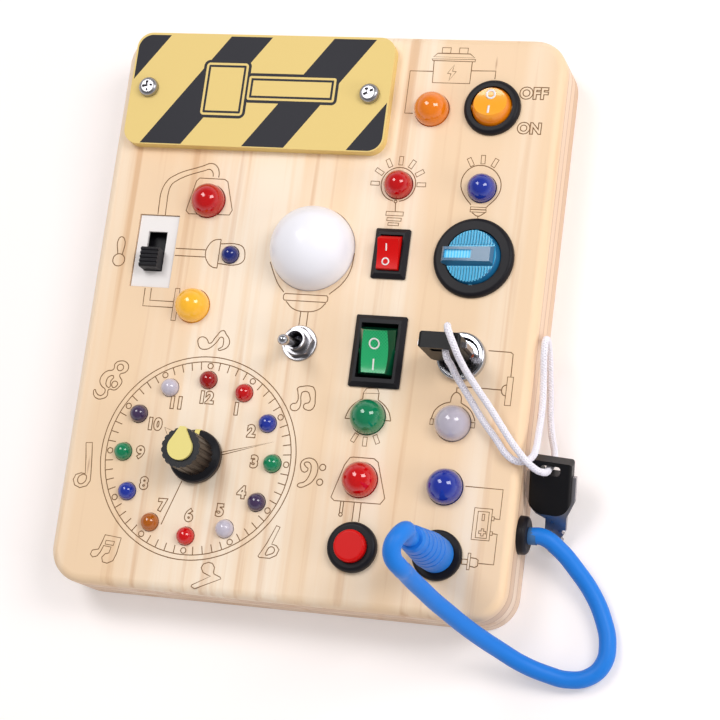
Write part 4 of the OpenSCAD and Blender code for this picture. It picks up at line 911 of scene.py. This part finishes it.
# %% [markdown]
# ## The clock dial
# Two rings, sixty minute ticks with a small circle in place of each fifth one, three hands and the
# hours. The ticks are all one line, laid at every minute from the middle of the dial.

# %% Dial
CLOCK = (-27, -46)
DIAL_OUTER = 30
DIAL_INNER = 28.5
TICK_END = 26.1
HOUR_CIRCLE = 27.3


def on_dial(radius, minute):
    angle = math.radians(90 - 6 * minute)
    return CLOCK[0] + radius * math.cos(angle), CLOCK[1] + radius * math.sin(angle)


ticks = [line(on_dial(DIAL_INNER, m), on_dial(TICK_END, m)) for m in range(60) if m % 5]
hours = [circle(on_dial(HOUR_CIRCLE, m), 0.8, 8) for m in range(0, 60, 5)]
draw("dial_rings", circle(CLOCK, DIAL_OUTER, 36), circle(CLOCK, DIAL_INNER, 36))
draw("dial_ticks", *ticks, *hours)
draw("dial_hands", line((-19.8, -43.9), (-4.2, -39.6), (-19.7, -44.7)),
     line((-30.6, -53.3), (-35, -66.4)), loop((-38.4, -37.9), (-35.2, -38.9), (-37, -40.4)),
     line((-36.1, -39.6), (-33, -41.4)))
print("dial", len(ticks), "ticks")

# %% [markdown]
# Numbers and the words by the round switch are outlined letters. A text object without fill and with
# a thin bevel gives the outline. It is made a mesh while it still stands at the origin, and only then
# moved to its place, so that nothing depends on the object's own position.

# %% Outlined letters
CAPITAL_SHARE = 0.7


def outlined(name, entries, bold):
    """One piece from several short texts, each with its middle at a given place."""
    gathered = bmesh.new()
    for text, centre, height in entries:
        data = bpy.data.curves.new(name, "FONT")
        data.body = text
        data.size = height / CAPITAL_SHARE * MM
        data.align_x = "CENTER"
        data.align_y = "CENTER"
        data.fill_mode = "NONE"
        data.offset = bold * MM
        data.bevel_depth = LINE / 2 * MM
        data.bevel_resolution = 0
        data.resolution_u = 4
        letters = as_mesh(add_object(name, data), name + "_part")
        letters.data.transform(Matrix.Translation((centre[0] * MM, centre[1] * MM, FACE)))
        gathered.from_mesh(letters.data)
        bpy.data.objects.remove(letters)
    burn_in(add_shape(name, gathered))


HOURS = {12: (-27, -28.3), 1: (-17.2, -31), 2: (-11.6, -37.2), 3: (-9.4, -46), 4: (-11.9, -55.2),
         5: (-17.7, -60.9), 6: (-26.9, -63.2), 7: (-35.6, -60.9), 8: (-42.2, -55), 9: (-44.8, -46),
         10: (-41.8, -37.3), 11: (-36, -30.5)}
outlined("dial_numbers", [(str(hour), centre, 3.3) for hour, centre in HOURS.items()], 0.28)
outlined("switch_words", [("OFF", (59.6, 68.3), 3.3), ("ON", (59.5, 57.6), 3.1)], 0.22)
print("numbers", len(HOURS), "and two words")

# %% [markdown]
# Around the dial stand eight music signs in outline: clefs, a flat, and notes with one head, two
# heads and a double beam.

# %% Music signs
draw("treble_clef",
     ring((-62.2, -28.2), (-62.4, -29.5), (-61.2, -30.8), (-59.4, -30.8), (-58, -29.8), (-57.8, -27.9),
          (-55.9, -27.9), (-54.5, -26.6), (-54, -25.2), (-55, -23.2), (-53.3, -22.3), (-52.6, -20.8),
          (-53.4, -19.4), (-55.3, -19), (-57, -19.9), (-57.3, -21.7), (-59.3, -22.4), (-60.7, -23.9),
          (-61, -25.7), (-60.2, -27), (-58.9, -28.1), (-59.6, -29.7), (-60.7, -29.8), (-61.7, -28.9)),
     ring((-59, -25.5), (-58.3, -24), (-56.9, -23.8), (-57.6, -25.4), (-57.7, -27.2), (-58.7, -26.8)),
     ring((-56.7, -25.4), (-55.4, -25.6), (-55.5, -26.7), (-56.7, -27.1)), circle((-55.2, -21), 1, 8))
draw("half_note",
     loop((-62.3, -44.3), (-60.3, -44.1), (-59.8, -47.8), (-59.2, -53.4), (-59.1, -55.6), (-60, -57.1),
          (-62, -57.8), (-63.8, -57.1), (-64.5, -55.5), (-63.9, -54), (-62.4, -53.4), (-61, -53.5),
          (-61.6, -48.5)),
     ring((-62.4, -54.1), (-60.8, -53.9), (-60.4, -54.9), (-61, -56.2), (-62.3, -56.6), (-63.1, -55.5)))
draw("beamed_sixteenths",
     loop((-51.7, -70.9), (-46.6, -71.4), (-47.3, -76), (-48.1, -78.2), (-49.8, -79.1), (-51.3, -78.8),
          (-51.7, -77.5), (-50.8, -76.4), (-49.7, -76.1), (-49.3, -74.3), (-51.7, -74.1), (-52.4, -76),
          (-53.3, -77.3), (-54.6, -77.7), (-55.4, -76.9), (-55, -75.7), (-53.1, -75.2), (-52.4, -73.2)),
     loop((-51.2, -72.5), (-48.5, -72.6), (-48.7, -73.8), (-51.3, -73.6)))
draw("low_note",
     loop((-18.8, -76), (-17.6, -76.2), (-16.8, -77.3), (-16.9, -78.7), (-16.6, -79.2), (-14.7, -79.9),
          (-14.4, -80.4), (-21.9, -83.9), (-23, -83.4), (-22.9, -82.9), (-17.6, -79.9), (-18.6, -79.6),
          (-20.1, -79), (-20.8, -77.7), (-20.3, -76.6)))
draw("flat_sign",
     loop((0, -63.7), (1.1, -64.1), (-0.7, -69.1), (0.7, -69.4), (1.7, -70.5), (1.1, -72.2),
          (-0.7, -73.2), (-3.9, -73.2), (-4.3, -72.9), (-2.2, -69)),
     ring((-2, -71.5), (-0.9, -69.9), (0.2, -70.3), (0.2, -71.4), (-1, -72.1), (-2.1, -72.3)))
draw("bass_clef",
     ring((4.8, -46.6), (4.7, -44.9), (6.1, -43.7), (8.1, -43.7), (9.6, -45.1), (9.9, -47.3),
          (9.2, -49.5), (7.5, -51.3), (4.7, -52), (4.5, -51.5), (6.5, -50.4), (7.6, -48.5), (7.9, -46.6),
          (7.4, -45), (6.5, -44.7), (5.7, -45.1), (6.1, -45.9), (7, -46.7), (6.4, -47.6), (5.4, -47.5)),
     circle((11.3, -45.9), 0.9, 8), circle((11, -50.2), 0.9, 8))
draw("beamed_eighths",
     ring((-0.9, -28.9), (-0.4, -28.1), (0.8, -27.7), (0.7, -24.2), (0.5, -23.5), (2, -22.8),
          (4.5, -22.6), (5.4, -23), (6.3, -26.6), (6.3, -28.3), (5.5, -29.5), (4.1, -29.6), (3.1, -28.9),
          (3.3, -27.9), (4.5, -27.4), (4.8, -26.7), (4.3, -25), (3.9, -24.4), (2.2, -24.5), (1.9, -25.2),
          (2.1, -28.3), (1.5, -29.7), (0.2, -30.1), (-0.7, -29.6)))
draw("single_note",
     ring((-32, -12), (-32, -10.7), (-30.6, -10.1), (-29.2, -10.9), (-28.5, -11.9), (-26.7, -9.8),
          (-24.7, -7.8), (-23.6, -8.9), (-22.4, -10.5), (-22.4, -12.2), (-23.9, -13.5), (-25.4, -13.6),
          (-24.4, -12.8), (-24.1, -11.7), (-24.8, -9.8), (-26.3, -11.5), (-28.1, -13.3), (-29.6, -13.8),
          (-31.1, -13.5)))
print("music signs drawn")

# %% [markdown]
# ## Marks on the rockers
# A line and a ring are printed on three rockers, for on and off. Each mark is drawn in the rocker's
# own flat frame and then dropped on its hollow top: a ray from above finds the surface under every
# point, and the point keeps a few hundredths of a millimetre of its height over it.

# %% Printed marks
ROCKER_HEIGHT = 20.3
RAY_START = 12 * MM
INK_GAP = 0.01 * MM
mark_ink = moulded_material("mark_ink", linear(250, 244, 242), 0.5, grain=0.05)[0]


def print_marks(name, rocker, centre, tilt, strokes, width):
    data = tube_data(name, width / 2 * MM, 0, 4)
    data.use_fill_caps = True
    add_strokes(data, strokes, 0)
    piece = as_mesh(add_object(name, data), name)
    turn = Matrix.Translation(Vector((*centre, ROCKER_HEIGHT)) * MM) @ Matrix.Rotation(
        math.radians(tilt), 4, "X")
    up = turn.to_3x3() @ Vector((0, 0, 1))
    for vertex in piece.data.vertices:
        thickness = vertex.co.z * PRESSED
        start = turn @ Vector((vertex.co.x, vertex.co.y, RAY_START))
        spot = nodes[rocker].ray_cast(start, -up)[1]
        vertex.co = spot + up * (thickness + INK_GAP)
    piece.data.materials.append(mark_ink)
    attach(piece, rocker)


def stepped_line(a, b, count=8):
    """A straight line in short steps, so that it can follow a hollow."""
    return line(*[(a[0] + (b[0] - a[0]) * i / count, a[1] + (b[1] - a[1]) * i / count)
                  for i in range(count + 1)])


print_marks("amber_marks", "amber_rocker", (47.9, 63.5), -9,
            [circle((-0.14, 2.55), 1.2), stepped_line((-0.25, -1.1), (-0.15, -3.7))], 0.7)
print_marks("green_marks", "green_rocker", (23.2, -11.2), 14,
            [circle((-0.25, 2.3), 1.4), stepped_line((-0.2, -2.0), (-0.1, -5.2))], 0.5)
print_marks("red_marks", "red_rocker", (23.2, 18), 14,
            [stepped_line((-0.5, 2.9), (-0.5, 0.8)), circle((-0.5, -2.3), 0.95)], 0.45)
print("marks on three rockers")

# %% [markdown]
# ## The braid
# The string is braided. Round a thinner core run fine yarns, half of them wound to the left and half
# to the right. Each yarn is a thin tube on a curve that circles the core as it follows it, and all of
# them are joined to the core's mesh, so that the string stays one piece.

# %% Yarn helpers
def wound(path, offset, pitch, phase, hand):
    """Points of a yarn that circles a path, with a frame carried along without twist."""
    points = []
    side = Vector((0, 0, 1)).cross(path[1] - path[0]).normalized()
    walked = 0.0
    for index, here in enumerate(path):
        ahead = path[min(index + 1, len(path) - 1)] - path[max(index - 1, 0)]
        ahead.normalize()
        side = (side - ahead * side.dot(ahead)).normalized()
        if index:
            walked += (here - path[index - 1]).length
        angle = hand * 2 * math.pi * walked / pitch + phase
        points.append(here + (side * math.cos(angle) + ahead.cross(side) * math.sin(angle)) * offset)
    return points


def evenly(path, gap):
    """The same path with points at an even distance."""
    even = [path[0].copy()]
    left = gap
    for a, b in zip(path, path[1:]):
        length = (b - a).length
        while left <= length:
            even.append(a.lerp(b, left / length))
            left += gap
        left -= length
    return even + [path[-1].copy()]


print("yarns can be wound")

# %% [markdown]
# Four yarns run each way. They sink a little into the core, and their outer sides give the cord its
# full thickness of 2.1 mm.

# %% Wind the yarns
YARN_RADIUS = 0.27 * MM
YARN_OFFSET = 0.78 * MM
YARN_PITCH = 3.2 * MM
YARNS = 4
YARN_STEP = 0.35 * MM
fine_path = evenly(string_line, YARN_STEP)
braid = bmesh.new()
braid.from_mesh(string_braid.data)
for hand in (-1, 1):
    for strand in range(YARNS):
        data = tube_data("yarn", YARN_RADIUS, 1)
        route = wound(fine_path, YARN_OFFSET, YARN_PITCH, strand * 2 * math.pi / YARNS, hand)
        add_spline(data, route, bent=False)
        yarn = as_mesh(add_object("yarn", data), "yarn")
        braid.from_mesh(yarn.data)
        bpy.data.objects.remove(yarn)
braid.to_mesh(string_braid.data)
braid.free()
smooth_faces(string_braid.data)
print("braid", len(string_braid.data.polygons), "faces")

# %% [markdown]
# The cable wears a short greyer sleeve beside the grommet, and the lock has a painted dot that shows
# which way it stands. The sleeve is spun round the cable's straight end, and the dot is a thin disc.

# %% Cable collar and lock dot
COLLAR_ENDS = (70.9, 73.2)
COLLAR_RADIUS = 2.49
CABLE_Y, CABLE_Z = -58.7, 10
shape = bmesh.new()
ends = [shape.verts.new((x * MM, CABLE_Y * MM, (CABLE_Z + COLLAR_RADIUS) * MM)) for x in COLLAR_ENDS]
shape.edges.new(ends)
bmesh.ops.spin(shape, geom=shape.verts[:] + shape.edges[:], cent=(0, CABLE_Y * MM, CABLE_Z * MM),
               axis=(1, 0, 0), dvec=(0, 0, 0), angle=2 * math.pi, steps=40, use_merge=True)
bmesh.ops.recalc_face_normals(shape, faces=shape.faces)
collar = add_shape("cable_collar", shape)
smooth_faces(collar.data)
collar.data.materials.append(plastic("collar_grey", (66, 110, 160), 0.5))
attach(collar, "board")
shape = bmesh.new()
bmesh.ops.create_cone(shape, cap_ends=True, segments=24, radius1=0.6 * MM, radius2=0.5 * MM,
                      depth=0.12 * MM, matrix=Matrix.Translation(Vector((51.0, -10.7, 21.05)) * MM))
lock_dot = add_shape("lock_dot", shape)
lock_dot.data.materials.append(plastic("dot_paint", (176, 80, 44), 0.4))
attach(lock_dot, "lock_core")
print("collar and dot", len(collar.data.polygons))

# %% [markdown]
# ## Floor and light
# The board lies on a plain white floor under soft studio light. Two softboxes hang behind it to the
# left and right, and each leaves a small bright window on every lens. The world fills the rest. The
# floor keeps the board's shadow, and a little glow, seen only by the camera and in reflections,
# lifts the lit part of it to white. In reflections the room's ceiling is dark, as it is in a real
# studio, so black plastic stays black and chrome gets its contrast.

# %% Floor
FLOOR_REACH = 3
FLOOR_GLOW = 0.22


def seen_share(tree):
    """1 for rays from the camera and in reflections, 0 for the rays that carry light."""
    path = tree.nodes.new("ShaderNodeLightPath")
    seen = calculate(tree, "MAXIMUM", path.outputs["Is Camera Ray"], path.outputs["Is Glossy Ray"])
    return calculate(tree, "MAXIMUM", seen, path.outputs["Is Transmission Ray"]), path


shape = bmesh.new()
shape.faces.new([shape.verts.new((x * FLOOR_REACH, y * FLOOR_REACH, 0))
                 for x, y in ((-1, -1), (1, -1), (1, 1), (-1, 1))])
floor = add_shape("floor", shape)
floor_material, tree, shader = new_material("floor", linear(240, 232, 230), 0.95, Specular_IOR_Level=0.0,
                                            Emission_Color=(1, 1, 1, 1))
link(tree, times(tree, seen_share(tree)[0], FLOOR_GLOW), shader.inputs["Emission Strength"])
floor.data.materials.append(floor_material)
print("floor", len(floor.data.polygons), "face")

# %% [markdown]
# The world lights the board with its lesser strength and is white to the camera. What mirrors see
# of it grows darker towards the ceiling.

# %% World
WORLD_LIGHT = 0.47
world = bpy.data.worlds.new("studio")
bpy.context.scene.world = world
world.use_nodes = True
tree = world.node_tree
background = tree.nodes["Background"]
background.inputs["Color"].default_value = (1, 1, 1, 1)
seen, path = seen_share(tree)
height = part_of(tree, tree.nodes.new("ShaderNodeTexCoord").outputs["Generated"], "Z")
dimming = spread_out(tree, height, 0.1, 0.6, 0.8)
ceiling = times(tree, dimming, path.outputs["Is Glossy Ray"])
bright = calculate(tree, "MULTIPLY_ADD", seen, 1 - WORLD_LIGHT, WORLD_LIGHT)
link(tree, calculate(tree, "SUBTRACT", bright, ceiling), background.inputs["Strength"])
print("world", world.name)

# %% [markdown]
# The third lamp only fills the shadows from the right, and leaves no window on the lenses.

# %% Softboxes
def softbox(name, place, size, watts):
    data = bpy.data.lights.new(name, "AREA")
    data.shape = "RECTANGLE"
    data.size, data.size_y = size
    data.energy = watts
    lamp = add_object(name, data)
    lamp.location = place
    lamp.rotation_euler = (-Vector(place)).to_track_quat("-Z", "Y").to_euler()
    return lamp


softbox("window_left", (-0.36, 0.40, 1.05), (0.36, 0.5), 4.3)
softbox("window_right", (0.70, 0.30, 0.85), (0.36, 0.5), 4.4)
fill = softbox("fill_right", (1.2, -0.25, 0.35), (0.7, 0.4), 4.4)
fill.visible_glossy = False
bpy.context.scene.view_settings.view_transform = "Standard"
